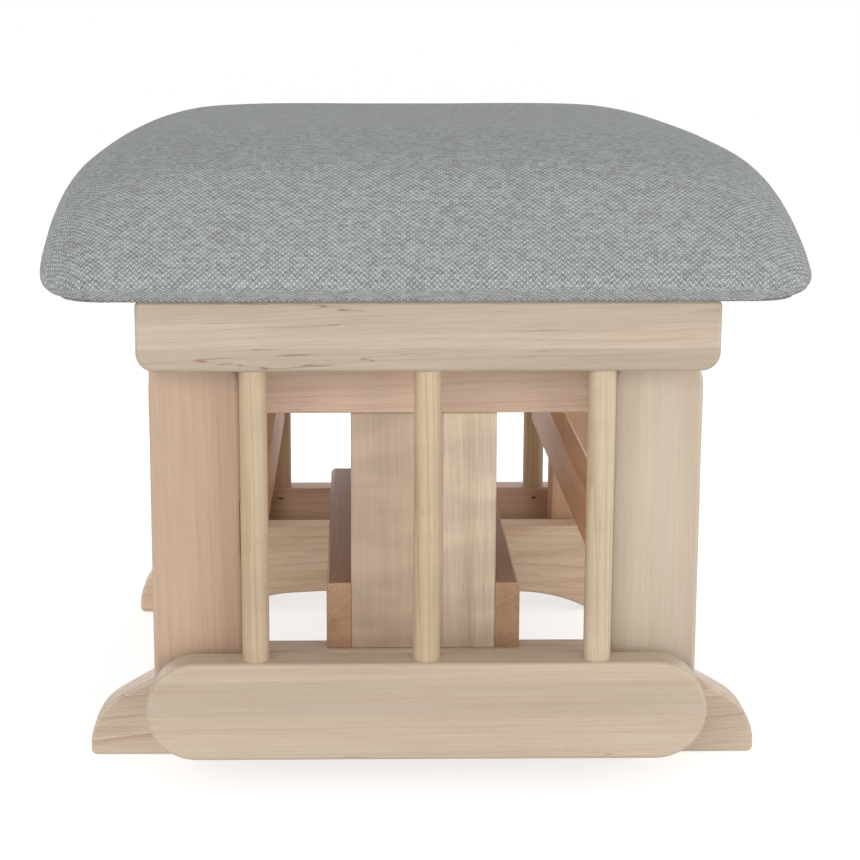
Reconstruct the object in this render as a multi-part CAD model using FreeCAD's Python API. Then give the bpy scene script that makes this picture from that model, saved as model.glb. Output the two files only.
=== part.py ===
import FreeCAD, Part
import math
import os
from FreeCAD import Vector

os.makedirs("parts", exist_ok=True)

# Glider ottoman: a cushioned seat that hangs from a fixed maple base on four swing links.
# Millimetres, +Z up, origin on the floor under the middle of the ottoman.
# X is the direction of glide. The near side is -Y and the far side is +Y, and a place given
# as "inner" or "outer" is a distance from the middle plane Y = 0, so that both sides share it.

NEAR = -1
FAR = 1
LEFT = -1
RIGHT = 1
SIDES = {"near": NEAR, "far": FAR}
ENDS = {"left": LEFT, "right": RIGHT}

# Eased edges of the seat rails, foot rails and straight boards
EASED_EDGE = 2.0

# Seat side panels: an upper rail and a round-ended lower rail joined by spindles
PANEL_OUTER = 246.5
PANEL_BOARD = 25.0
SEAT_RAIL_LENGTH = 396.0
SEAT_RAIL_BOTTOM = 303.5
SEAT_RAIL_HEIGHT = 48.5
SEAT_RAIL_CORNER = 13.0
SEAT_RAIL_TOP_CORNER = 4.0
LOWER_RAIL_LENGTH = 393.0
LOWER_RAIL_BOTTOM = 25.5
LOWER_RAIL_HEIGHT = 71.0
SPINDLE_DIAMETER = 19.0
SPINDLE_SPACING = 119.5
SPINDLE_TENON = 20.0
SPINDLE_COUNT = 3

# Seat deck under the cushion
CROSS_RAIL_WIDTH = 70.0
CROSS_RAIL_THICKNESS = 20.0
CROSS_RAIL_CENTRE = 140.0
CROSS_TENON_WIDTH = 46.0
CROSS_TENON_THICKNESS = 9.0
CROSS_TENON_LENGTH = 16.0
DECK_LENGTH = 500.0
DECK_WIDTH = 490.0
DECK_THICKNESS = 12.0
DECK_CORNER = 30.0

# Cushion
CUSHION_LENGTH = 534.0
CUSHION_WIDTH = 528.0
CUSHION_HEIGHT = 107.0
CUSHION_CORNER = 46.0
CUSHION_DRAW_IN = 3.0
CUSHION_TUCK = 10.0
CUSHION_TUCK_HEIGHT = 13.0
CUSHION_DOME = 6.0
CUSHION_SHOULDER = 11.7
CUSHION_SLANT = 1.08
CUSHION_TUCK_ANGLES = (0, 45)
CUSHION_TOP_SHARES = (1.0, 0.97, 0.925, 0.87, 0.79, 0.5)

# Base: foot rails, beam, posts and top rails
FOOT_OUTER = 174.5
FOOT_BOARD = 25.0
FOOT_LENGTH = 491.0
FOOT_HEIGHT = 80.0
FOOT_SOLE_CORNER = 4.0
FOOT_TOE_START = 7.5
FOOT_TOE_RADIUS = 44.0
FOOT_SLOPE = 30.0
FOOT_SHOULDER_RADIUS = 60.0
ARCH_LENGTH = 334.0
ARCH_RISE = 20.5
ARCH_FLAT_LENGTH = 204.0
ARCH_FLAT_SAG = 3.0
POST_OUTER = 168.5
POST_BOARD = 25.0
POST_WIDTH = 106.0
POST_HEIGHT = 177.5
BEAM_WIDTH = 142.0
BEAM_HEIGHT = 50.0
BEAM_ROUNDING = 4.0
TOP_RAIL_LENGTH = 396.0
TOP_RAIL_HEIGHT = 60.0
TOP_RAIL_CORNER = 12.0
POST_TENON_WIDTH = 74.0
POST_TENON_THICKNESS = 9.0
POST_TENON_LENGTH = 26.0

# Swing links and the stretcher that ties each pair
LINK_WIDTH = 63.0
LINK_BOARD = 25.0
LINK_SEAT_GAP = 12.0
LINK_PIVOT_X = 162.4
UPPER_PIVOT_Z = 285.0
STRETCHER_THICKNESS = 16.0
STRETCHER_HEIGHT = 40.0
STRETCHER_BOTTOM = 164.0

# Pivots: a sealed bearing as wide as its board, and a bolt through it into the next board
BOLT_HEAD_DIAMETER = 18.0
BOLT_HEAD_HEIGHT = 4.0
BOLT_DIAMETER = 12.0
BOLT_BITE = 17.0
BEARING_OUTSIDE = 22.0

# Clearances
RUNNING_CLEARANCE = 0.05
OPEN_PIVOT_CLEARANCE = 0.3
FIXING_CLEARANCE = 0.05
BLIND_END_CLEARANCE = 1.0
SOFT_CLEARANCE = 0.3

# Places that follow from the sizes above
PANEL_INNER = PANEL_OUTER - PANEL_BOARD
SEAT_RAIL_TOP = SEAT_RAIL_BOTTOM + SEAT_RAIL_HEIGHT
LOWER_RAIL_TOP = LOWER_RAIL_BOTTOM + LOWER_RAIL_HEIGHT
LOWER_PIVOT_Z = LOWER_RAIL_BOTTOM + LOWER_RAIL_HEIGHT / 2
LINK_OUTER = PANEL_INNER - LINK_SEAT_GAP
LINK_INNER = LINK_OUTER - LINK_BOARD
FOOT_INNER = FOOT_OUTER - FOOT_BOARD
POST_INNER = POST_OUTER - POST_BOARD
BEAM_TOP = FOOT_HEIGHT + BEAM_HEIGHT
POST_TOP = FOOT_HEIGHT + POST_HEIGHT
TOP_RAIL_TOP = POST_TOP + TOP_RAIL_HEIGHT
CROSS_RAIL_BOTTOM = SEAT_RAIL_TOP - CROSS_RAIL_THICKNESS
CROSS_RAIL_Z = SEAT_RAIL_TOP - CROSS_RAIL_THICKNESS / 2
STRETCHER_OUTER_X = LINK_PIVOT_X - LINK_WIDTH / 2
STRETCHER_INNER_X = STRETCHER_OUTER_X - STRETCHER_THICKNESS
PANEL_MIDDLE = (PANEL_INNER + PANEL_OUTER) / 2
POST_MIDDLE = (POST_INNER + POST_OUTER) / 2
FOOT_TENON_MIDDLE = (FOOT_INNER + POST_OUTER) / 2


def slice_of(side, inner, outer):
    """Lowest and highest Y between two distances from the middle plane, on one side."""
    low, high = sorted((side * inner, side * outer))
    return low, high


def line(start, end):
    """Straight edge in the XZ plane."""
    return Part.LineSegment(Vector(start[0], 0, start[1]), Vector(end[0], 0, end[1])).toShape()


def arc(start, middle, end):
    """Circular edge in the XZ plane through three points."""
    points = [Vector(point[0], 0, point[1]) for point in (start, middle, end)]
    return Part.Arc(*points).toShape()


def turn_point(centre, radius, degrees):
    """Point on a circle in the XZ plane, counted from +X towards +Z."""
    angle = math.radians(degrees)
    return (centre[0] + radius * math.cos(angle), centre[1] + radius * math.sin(angle))


def corner_arc(centre, radius, first, last):
    """Arc about a centre from one angle to another."""
    middle = (first + last) / 2
    return arc(
        turn_point(centre, radius, first),
        turn_point(centre, radius, middle),
        turn_point(centre, radius, last),
    )


def plate(edges, side, inner, outer):
    """Board cut to an XZ outline, between two distances from the middle plane."""
    low, high = slice_of(side, inner, outer)
    outline = Part.Wire(Part.__sortEdges__(edges))
    outline.translate(Vector(0, low, 0))
    return Part.Face(outline).extrude(Vector(0, high - low, 0))


def block(x_range, y_range, z_range):
    """Rectangular block between the given limits."""
    size = [limits[1] - limits[0] for limits in (x_range, y_range, z_range)]
    return Part.makeBox(*size, Vector(x_range[0], y_range[0], z_range[0]))


def rod_y(side, x, z, radius, inner, outer):
    """Round bar along Y between two distances from the middle plane."""
    low, high = slice_of(side, inner, outer)
    return Part.makeCylinder(radius, high - low, Vector(x, low, z), Vector(0, 1, 0))


def face_outline(solid, low_z=-1.0):
    """Edges of the two faces that look along Y, those above a height."""
    box = solid.BoundBox
    found = []
    for edge in solid.Edges:
        flat = edge.BoundBox.YLength < 1e-6
        at_face = min(abs(edge.BoundBox.YMin - box.YMin), abs(edge.BoundBox.YMin - box.YMax)) < 1e-6
        if flat and at_face and edge.BoundBox.ZMin > low_z:
            found.append(edge)
    return found


def edges_along(solid, axis):
    """Straight edges that run along one axis, given as x, y or z."""
    lengths = {"x": "XLength", "y": "YLength", "z": "ZLength"}
    across = [name for key, name in lengths.items() if key != axis]
    return [
        edge for edge in solid.Edges
        if getattr(edge.BoundBox, lengths[axis]) > 1e-6
        and all(getattr(edge.BoundBox, name) < 1e-6 for name in across)
    ]


def revolved(points, origin, direction):
    """Solid of revolution from (radius, distance) points, turned about an axis."""
    closed = points + [points[0]]
    outline = Part.makePolygon([Vector(radius, 0, distance) for radius, distance in closed])
    solid = Part.Face(outline).revolve(Vector(0, 0, 0), Vector(0, 0, 1), 360)
    turn = FreeCAD.Rotation(Vector(0, 0, 1), direction)
    solid.Placement = FreeCAD.Placement(origin, turn)
    return solid


def tube(outer_radius, inner_radius, side, x, z, inner, outer):
    """Sleeve along Y."""
    wall = rod_y(side, x, z, outer_radius, inner, outer)
    return wall.cut(rod_y(side, x, z, inner_radius, inner, outer))


def spindle_places():
    """X of each spindle in a panel, from left to right."""
    first = -(SPINDLE_COUNT - 1) / 2
    return [(first + index) * SPINDLE_SPACING for index in range(SPINDLE_COUNT)]


def spindle(side, x):
    """Straight turned spindle whose ends are its tenons."""
    bottom = LOWER_RAIL_TOP - SPINDLE_TENON
    length = SEAT_RAIL_BOTTOM + SPINDLE_TENON - bottom
    place = Vector(x, side * PANEL_MIDDLE, bottom)
    return Part.makeCylinder(SPINDLE_DIAMETER / 2, length, place)


def drill_for_spindles(rail, side, mouth, direction):
    """Rail with a blind hole for every spindle's tenon."""
    depth = SPINDLE_TENON + BLIND_END_CLEARANCE
    for x in spindle_places():
        place = Vector(x, side * PANEL_MIDDLE, mouth)
        hole = Part.makeCylinder(SPINDLE_DIAMETER / 2 + FIXING_CLEARANCE, depth, place, direction)
        rail = rail.cut(hole)
    return rail


def seat_rail(side):
    """Upper rail of a seat panel, with rounded lower corners."""
    half = SEAT_RAIL_LENGTH / 2
    low, high = SEAT_RAIL_BOTTOM, SEAT_RAIL_TOP
    big, small = SEAT_RAIL_CORNER, SEAT_RAIL_TOP_CORNER
    edges = [
        line((-half + big, low), (half - big, low)),
        corner_arc((half - big, low + big), big, -90, 0),
        line((half, low + big), (half, high - small)),
        corner_arc((half - small, high - small), small, 0, 90),
        line((half - small, high), (-half + small, high)),
        corner_arc((-half + small, high - small), small, 90, 180),
        line((-half, high - small), (-half, low + big)),
        corner_arc((-half + big, low + big), big, 180, 270),
    ]
    rail = plate(edges, side, PANEL_INNER, PANEL_OUTER)
    rail = rail.makeChamfer(EASED_EDGE, face_outline(rail))
    rail = drill_for_spindles(rail, side, SEAT_RAIL_BOTTOM, Vector(0, 0, 1))
    for end in ENDS.values():
        rail = rail.cut(cross_tenon(end, side, FIXING_CLEARANCE, BLIND_END_CLEARANCE))
    return rail


def lower_rail(side):
    """Lower rail of a seat panel, with full round ends."""
    radius = LOWER_RAIL_HEIGHT / 2
    reach = LOWER_RAIL_LENGTH / 2 - radius
    edges = [
        line((-reach, LOWER_RAIL_BOTTOM), (reach, LOWER_RAIL_BOTTOM)),
        corner_arc((reach, LOWER_PIVOT_Z), radius, -90, 90),
        line((reach, LOWER_RAIL_TOP), (-reach, LOWER_RAIL_TOP)),
        corner_arc((-reach, LOWER_PIVOT_Z), radius, 90, 270),
    ]
    rail = plate(edges, side, PANEL_INNER, PANEL_OUTER)
    rail = drill_for_spindles(rail, side, LOWER_RAIL_TOP, Vector(0, 0, -1))
    for end in ENDS.values():
        rail = rail.cut(bolt_hole(side, end * LINK_PIVOT_X, LOWER_PIVOT_Z, PANEL_INNER))
    return rail


def cross_tenon(end, side, clearance, extra):
    """Tenon at one end of a cross rail, or its mortise in the seat rail."""
    centre = end * CROSS_RAIL_CENTRE
    wide = CROSS_TENON_WIDTH / 2 + clearance
    thick = CROSS_TENON_THICKNESS / 2 + clearance
    return block(
        (centre - wide, centre + wide),
        slice_of(side, PANEL_INNER, PANEL_INNER + CROSS_TENON_LENGTH + extra),
        (CROSS_RAIL_Z - thick, CROSS_RAIL_Z + thick),
    )


def cross_rail(end):
    """Flat board that joins the two seat panels and carries the cushion board."""
    centre = end * CROSS_RAIL_CENTRE
    half = CROSS_RAIL_WIDTH / 2
    rail = block(
        (centre - half, centre + half),
        (-PANEL_INNER, PANEL_INNER),
        (CROSS_RAIL_BOTTOM, SEAT_RAIL_TOP),
    )
    rail = rail.makeChamfer(EASED_EDGE, edges_along(rail, "y"))
    for side in SIDES.values():
        rail = rail.fuse(cross_tenon(end, side, 0, 0))
    return rail


def cushion_board():
    """Plywood board that the cushion is built on."""
    half_x, half_y = DECK_LENGTH / 2, DECK_WIDTH / 2
    top = SEAT_RAIL_TOP + DECK_THICKNESS
    board = block((-half_x, half_x), (-half_y, half_y), (SEAT_RAIL_TOP, top))
    return board.makeFillet(DECK_CORNER, edges_along(board, "z"))


def cushion_side():
    """Height and inset of each cushion section: a tucked lower edge, then the crowned top."""
    half = CUSHION_LENGTH / 2
    crown = CUSHION_HEIGHT - CUSHION_TUCK_HEIGHT - CUSHION_DOME
    sections = []
    for degrees in CUSHION_TUCK_ANGLES:
        angle = math.radians(degrees)
        height = CUSHION_TUCK_HEIGHT * (1 - math.cos(angle))
        sections.append((height, CUSHION_TUCK * (1 - math.sin(angle))))
    for share in CUSHION_TOP_SHARES:
        shoulder = (1 - share ** CUSHION_SHOULDER) ** (1 / CUSHION_SLANT)
        height = CUSHION_TUCK_HEIGHT + crown * shoulder + CUSHION_DOME * (1 - share ** 2)
        sections.append((height, half * (1 - share)))
    return sections


def cushion_section(height, inset):
    """Closed outline of the cushion at one height, its sides drawn in between the corners."""
    z = SEAT_RAIL_TOP + height
    half_x = CUSHION_LENGTH / 2 - inset
    half_y = CUSHION_WIDTH / 2 - inset
    share = half_x / (CUSHION_LENGTH / 2)
    corner = CUSHION_CORNER * share + half_x * (1 - share) / 2
    pull = CUSHION_DRAW_IN * share
    slant = corner * (1 - math.sqrt(0.5))
    edges = []
    for turn in range(4):
        reach, across = (half_x, half_y) if turn % 2 == 0 else (half_y, half_x)
        side = [(reach, corner - across), (reach - pull, 0), (reach, across - corner)]
        bend = [(reach, across - corner), (reach - slant, across - slant), (reach - corner, across)]
        quarter = FreeCAD.Rotation(Vector(0, 0, 1), 90 * turn)
        for stretch in (side, bend):
            points = [quarter.multVec(Vector(x, y, z)) for x, y in stretch]
            edges.append(Part.Arc(*points).toShape())
    return Part.Wire(edges)


def cushion():
    """Upholstered cushion with its crown, and a recess below for the board."""
    sections = [cushion_section(height, inset) for height, inset in cushion_side()]
    solid = Part.makeLoft(sections, True, True)
    half_x = DECK_LENGTH / 2 + SOFT_CLEARANCE
    half_y = DECK_WIDTH / 2 + SOFT_CLEARANCE
    top = SEAT_RAIL_TOP + DECK_THICKNESS + SOFT_CLEARANCE
    return solid.cut(block((-half_x, half_x), (-half_y, half_y), (SEAT_RAIL_TOP, top)))


def foot_rail(side):
    """Foot rail: rounded toes, sloping shoulders and a shallow arch underneath."""
    half = FOOT_LENGTH / 2
    slope = math.radians(FOOT_SLOPE)
    toe_centre = (half - FOOT_TOE_RADIUS, FOOT_TOE_START)
    slope_start = turn_point(toe_centre, FOOT_TOE_RADIUS, 90 - FOOT_SLOPE)
    rise = FOOT_HEIGHT - slope_start[1]
    shoulder_x = slope_start[0] - rise / math.tan(slope)
    tangent = FOOT_SHOULDER_RADIUS * math.tan(slope / 2)
    shoulder_centre = (shoulder_x - tangent, FOOT_HEIGHT - FOOT_SHOULDER_RADIUS)
    slope_end = turn_point(shoulder_centre, FOOT_SHOULDER_RADIUS, 90 - FOOT_SLOPE)
    sole = FOOT_SOLE_CORNER
    edges = []
    for end in ENDS.values():
        edges += mirrored([
            ("line", (ARCH_LENGTH / 2, 0), (half - sole, 0)),
            ("turn", (half - sole, sole), sole, -90, 0),
            ("line", (half, sole), (half, FOOT_TOE_START)),
            ("turn", toe_centre, FOOT_TOE_RADIUS, 0, 90 - FOOT_SLOPE),
            ("line", slope_start, slope_end),
            ("turn", shoulder_centre, FOOT_SHOULDER_RADIUS, 90 - FOOT_SLOPE, 90),
            ("line", (shoulder_centre[0], FOOT_HEIGHT), (0, FOOT_HEIGHT)),
            ("arc", *arch_end()),
        ], end)
    flat = ARCH_FLAT_LENGTH / 2
    shoulder = ARCH_RISE - ARCH_FLAT_SAG
    edges.append(arc((-flat, shoulder), (0, ARCH_RISE), (flat, shoulder)))
    rail = plate(edges, side, FOOT_INNER, FOOT_OUTER).removeSplitter()
    upper = face_outline(rail, FOOT_TOE_START - FOOT_SOLE_CORNER + 1.0)
    upper = [edge for edge in upper if edge.BoundBox.ZMax > ARCH_RISE + 1.0]
    rail = rail.makeChamfer(EASED_EDGE, upper)
    return rail.cut(post_tenon(side, FOOT_TENON_MIDDLE, FOOT_HEIGHT, -1, FIXING_CLEARANCE))


def arch_end():
    """Three points of the arch's steep stretch, from its flat middle down to the sole."""
    flat = ARCH_FLAT_LENGTH / 2
    top = ARCH_RISE - ARCH_FLAT_SAG
    run = ARCH_LENGTH / 2 - flat
    return ((flat, top), (flat + 0.6 * run, 0.63 * top), (ARCH_LENGTH / 2, 0))


def mirrored(pieces, end):
    """Edges from a list of lines, turns and arcs, drawn for +X and mirrored for the left end."""
    made = []
    for piece in pieces:
        kind, values = piece[0], piece[1:]
        if kind == "line":
            start, finish = [(end * x, z) for x, z in values]
            made.append(line(start, finish))
        elif kind == "arc":
            made.append(arc(*[(end * x, z) for x, z in values]))
        else:
            centre, radius, first, last = values
            if end == LEFT:
                centre = (-centre[0], centre[1])
                first, last = 180 - first, 180 - last
            made.append(corner_arc(centre, radius, first, last))
    return made


def post_tenon(side, middle, mouth, direction, clearance):
    """Tenon at the end of a post, or its mortise, going up or down from a level."""
    wide = POST_TENON_WIDTH / 2 + clearance
    thick = POST_TENON_THICKNESS / 2 + clearance
    extra = BLIND_END_CLEARANCE if clearance else 0
    low, high = sorted((mouth, mouth + direction * (POST_TENON_LENGTH + extra)))
    return block((-wide, wide), slice_of(side, middle - thick, middle + thick), (low, high))


def base_beam():
    """Beam across the two foot rails, notched at each end for a post."""
    half = BEAM_WIDTH / 2
    beam = block((-half, half), (-POST_OUTER, POST_OUTER), (FOOT_HEIGHT, BEAM_TOP))
    beam = beam.makeFillet(BEAM_ROUNDING, [
        edge for edge in edges_along(beam, "y") if edge.BoundBox.ZMin > BEAM_TOP - 1e-6
    ])
    notch = POST_WIDTH / 2
    for side in SIDES.values():
        low, high = slice_of(side, POST_INNER, POST_OUTER + 1.0)
        beam = beam.cut(block((-notch, notch), (low, high), (FOOT_HEIGHT - 1.0, BEAM_TOP + 1.0)))
    return beam


def post(side):
    """Post that stands on a foot rail, in the notch of the beam, with a tenon at each end."""
    low, high = slice_of(side, POST_INNER, POST_OUTER)
    half = POST_WIDTH / 2
    board = block((-half, half), (low, high), (FOOT_HEIGHT, POST_TOP))
    board = board.makeChamfer(EASED_EDGE / 2, [
        edge for edge in edges_along(board, "z") if abs(edge.BoundBox.YMin) > POST_MIDDLE
    ])
    board = board.fuse(post_tenon(side, POST_MIDDLE, POST_TOP, 1, 0))
    return board.fuse(post_tenon(side, FOOT_TENON_MIDDLE, FOOT_HEIGHT, -1, 0))


def top_rail(side):
    """Rail on top of a post, with a bearing seat for the upper pivot at each end."""
    half = TOP_RAIL_LENGTH / 2
    low, high = POST_TOP, TOP_RAIL_TOP
    corner = TOP_RAIL_CORNER
    edges = [
        line((-half + corner, low), (half - corner, low)),
        corner_arc((half - corner, low + corner), corner, -90, 0),
        line((half, low + corner), (half, high - corner)),
        corner_arc((half - corner, high - corner), corner, 0, 90),
        line((half - corner, high), (-half + corner, high)),
        corner_arc((-half + corner, high - corner), corner, 90, 180),
        line((-half, high - corner), (-half, low + corner)),
        corner_arc((-half + corner, low + corner), corner, 180, 270),
    ]
    rail = plate(edges, side, POST_INNER, POST_OUTER)
    rail = rail.cut(post_tenon(side, POST_MIDDLE, POST_TOP, 1, FIXING_CLEARANCE))
    radius = BEARING_OUTSIDE / 2
    for end in ENDS.values():
        seat = rod_y(side, end * LINK_PIVOT_X, UPPER_PIVOT_Z, radius, POST_INNER, POST_OUTER)
        rail = rail.cut(seat)
    return rail


def bolt_hole(side, x, z, mouth):
    """Blind hole that a pivot bolt is driven into."""
    depth = BOLT_BITE + BLIND_END_CLEARANCE
    return rod_y(side, x, z, BOLT_DIAMETER / 2 + FIXING_CLEARANCE, mouth, mouth + depth)


def bearing(side, x, z, inner, outer, clearance):
    """Sealed bearing pressed into its board, with its clearance round the bolt."""
    radius = BEARING_OUTSIDE / 2 - FIXING_CLEARANCE
    return tube(radius, BOLT_DIAMETER / 2 + clearance, side, x, z, inner, outer)


def pivot_bolt(side, x, z, seat, mouth):
    """Flat-headed bolt with its head at the bearing and its end in the next board."""
    shank = BOLT_DIAMETER / 2
    head = BOLT_HEAD_DIAMETER / 2
    reach = mouth + BOLT_BITE - seat
    points = [
        (0, -BOLT_HEAD_HEIGHT),
        (head, -BOLT_HEAD_HEIGHT),
        (head, 0),
        (shank, 0),
        (shank, reach),
        (0, reach),
    ]
    return revolved(points, Vector(x, side * seat, z), Vector(0, side, 0))


def link(side, end):
    """Swing link: round ends, an upper bolt hole and a lower bearing hole."""
    x = end * LINK_PIVOT_X
    radius = LINK_WIDTH / 2
    edges = [
        corner_arc((x, UPPER_PIVOT_Z), radius, 0, 180),
        line((x - radius, UPPER_PIVOT_Z), (x - radius, LOWER_PIVOT_Z)),
        corner_arc((x, LOWER_PIVOT_Z), radius, 180, 360),
        line((x + radius, LOWER_PIVOT_Z), (x + radius, UPPER_PIVOT_Z)),
    ]
    board = plate(edges, side, LINK_INNER, LINK_OUTER)
    board = board.cut(bolt_hole(side, x, UPPER_PIVOT_Z, LINK_INNER))
    return board.cut(rod_y(side, x, LOWER_PIVOT_Z, BEARING_OUTSIDE / 2, LINK_INNER, LINK_OUTER))


def stretcher(end):
    """Board that ties the near and the far link of one end."""
    low, high = sorted((end * STRETCHER_INNER_X, end * STRETCHER_OUTER_X))
    board = block(
        (low, high),
        (-LINK_OUTER, LINK_OUTER),
        (STRETCHER_BOTTOM, STRETCHER_BOTTOM + STRETCHER_HEIGHT),
    )
    return board.makeChamfer(EASED_EDGE, edges_along(board, "y"))


def save(node, solids):
    """Write one node: a single solid, or a group of separate ones."""
    shape = solids[0] if len(solids) == 1 else Part.makeCompound(solids)
    if not shape.isValid():
        print("not valid:", node)
    shape.exportStep("parts/" + node + ".step")


def save_panel(name, side):
    """Write the rails and spindles of one seat panel."""
    save(name + "_seat_rail", [seat_rail(side)])
    save(name + "_lower_rail", [lower_rail(side)])
    words = ("left", "middle", "right")
    for word, x in zip(words, spindle_places()):
        save(name + "_" + word + "_spindle", [spindle(side, x)])


def save_base():
    """Write everything that stands still."""
    for name, side in SIDES.items():
        save(name + "_foot_rail", [foot_rail(side)])
        save(name + "_post", [post(side)])
        save(name + "_top_rail", [top_rail(side)])
    save("base_beam", [base_beam()])
    save("upper_bearings", [
        bearing(
            side, end * LINK_PIVOT_X, UPPER_PIVOT_Z, POST_INNER, POST_OUTER, RUNNING_CLEARANCE,
        )
        for side in SIDES.values() for end in ENDS.values()
    ])


def save_swing(name, end):
    """Write one end's pair of links with its stretcher, bolts and bearings."""
    x = end * LINK_PIVOT_X
    sides = list(SIDES.values())
    for word, side in SIDES.items():
        save(word + "_" + name + "_link", [link(side, end)])
    save(name + "_stretcher", [stretcher(end)])
    save(name + "_upper_pivot_bolts", [
        pivot_bolt(side, x, UPPER_PIVOT_Z, POST_INNER, LINK_INNER) for side in sides
    ])
    clearance = RUNNING_CLEARANCE if end == LEFT else OPEN_PIVOT_CLEARANCE
    save(name + "_lower_bearings", [
        bearing(side, x, LOWER_PIVOT_Z, LINK_INNER, LINK_OUTER, clearance) for side in sides
    ])


def save_seat():
    """Write the hanging seat: panels, deck, cushion and lower pivots."""
    for name, side in SIDES.items():
        save_panel(name, side)
    for name, end in ENDS.items():
        save(name + "_cross_rail", [cross_rail(end)])
    save("cushion_board", [cushion_board()])
    save("cushion", [cushion()])
    save("lower_pivot_bolts", [
        pivot_bolt(side, end * LINK_PIVOT_X, LOWER_PIVOT_Z, LINK_INNER, PANEL_INNER)
        for side in SIDES.values() for end in ENDS.values()
    ])


save_base()
for swing_name, swing_end in ENDS.items():
    save_swing(swing_name, swing_end)
save_seat()
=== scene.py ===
import logging
import math
from dataclasses import dataclass, field
from enum import Enum

import bmesh
import bpy
import numpy as np
from mathutils import Matrix, Vector


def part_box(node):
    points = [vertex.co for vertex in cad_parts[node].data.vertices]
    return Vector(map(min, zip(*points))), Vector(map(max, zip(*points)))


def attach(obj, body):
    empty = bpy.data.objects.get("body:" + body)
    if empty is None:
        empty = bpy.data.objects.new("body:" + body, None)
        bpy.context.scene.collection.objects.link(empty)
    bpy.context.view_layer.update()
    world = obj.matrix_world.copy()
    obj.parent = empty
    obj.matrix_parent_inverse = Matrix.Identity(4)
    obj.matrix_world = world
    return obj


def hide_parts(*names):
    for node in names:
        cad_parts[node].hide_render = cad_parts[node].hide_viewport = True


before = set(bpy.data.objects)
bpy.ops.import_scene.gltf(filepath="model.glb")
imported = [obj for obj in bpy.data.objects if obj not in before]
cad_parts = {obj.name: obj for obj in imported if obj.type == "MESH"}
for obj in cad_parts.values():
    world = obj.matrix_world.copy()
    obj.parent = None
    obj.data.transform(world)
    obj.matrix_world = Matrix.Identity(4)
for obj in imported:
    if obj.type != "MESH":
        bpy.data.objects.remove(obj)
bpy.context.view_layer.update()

log = logging.getLogger("ottoman")

Point = tuple[float, float]
Place = tuple[float, float, float]
Colour = tuple[float, float, float, float]
Outline = list[Point]
Piece = bpy.types.Object
Socket = bpy.types.NodeSocket
Tree = bpy.types.NodeTree
Material = bpy.types.Material

NUMBER, VECTOR, COLOUR = "NodeSocketFloat", "NodeSocketVector", "NodeSocketColor"
SIDES = {"near": -1, "far": 1}
ENDS = {"left": -1, "right": 1}
SPINDLES = ("left", "middle", "right")
BORE_PLAY = 0.00005
CUTTER_REACH = 0.01


class Slot(Enum):
    """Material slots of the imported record."""

    MAPLE = "maple"
    PLYWOOD = "plywood"
    UPHOLSTERY = "upholstery"
    ZINC = "zinc_steel"
    BEARING = "bearing_steel"


class Grain(Enum):
    """Direction of a board's fibres, with the turn that brings it to the X axis."""

    X = (0.0, 0.0, 0.0)
    Y = (0.0, 0.0, -math.pi / 2)
    Z = (0.0, math.pi / 2, 0.0)


def srgb(red: float, green: float, blue: float) -> Colour:
    """Linear colour of an sRGB one.

    Args:
        red: Red from 0 to 255.
        green: Green from 0 to 255.
        blue: Blue from 0 to 255.

    Returns:
        The linear colour with full alpha.
    """
    parts = []
    for value in (red, green, blue):
        share = value / 255
        parts.append(share / 12.92 if share <= 0.04045 else ((share + 0.055) / 1.055) ** 2.4)
    return parts[0], parts[1], parts[2], 1.0


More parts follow.
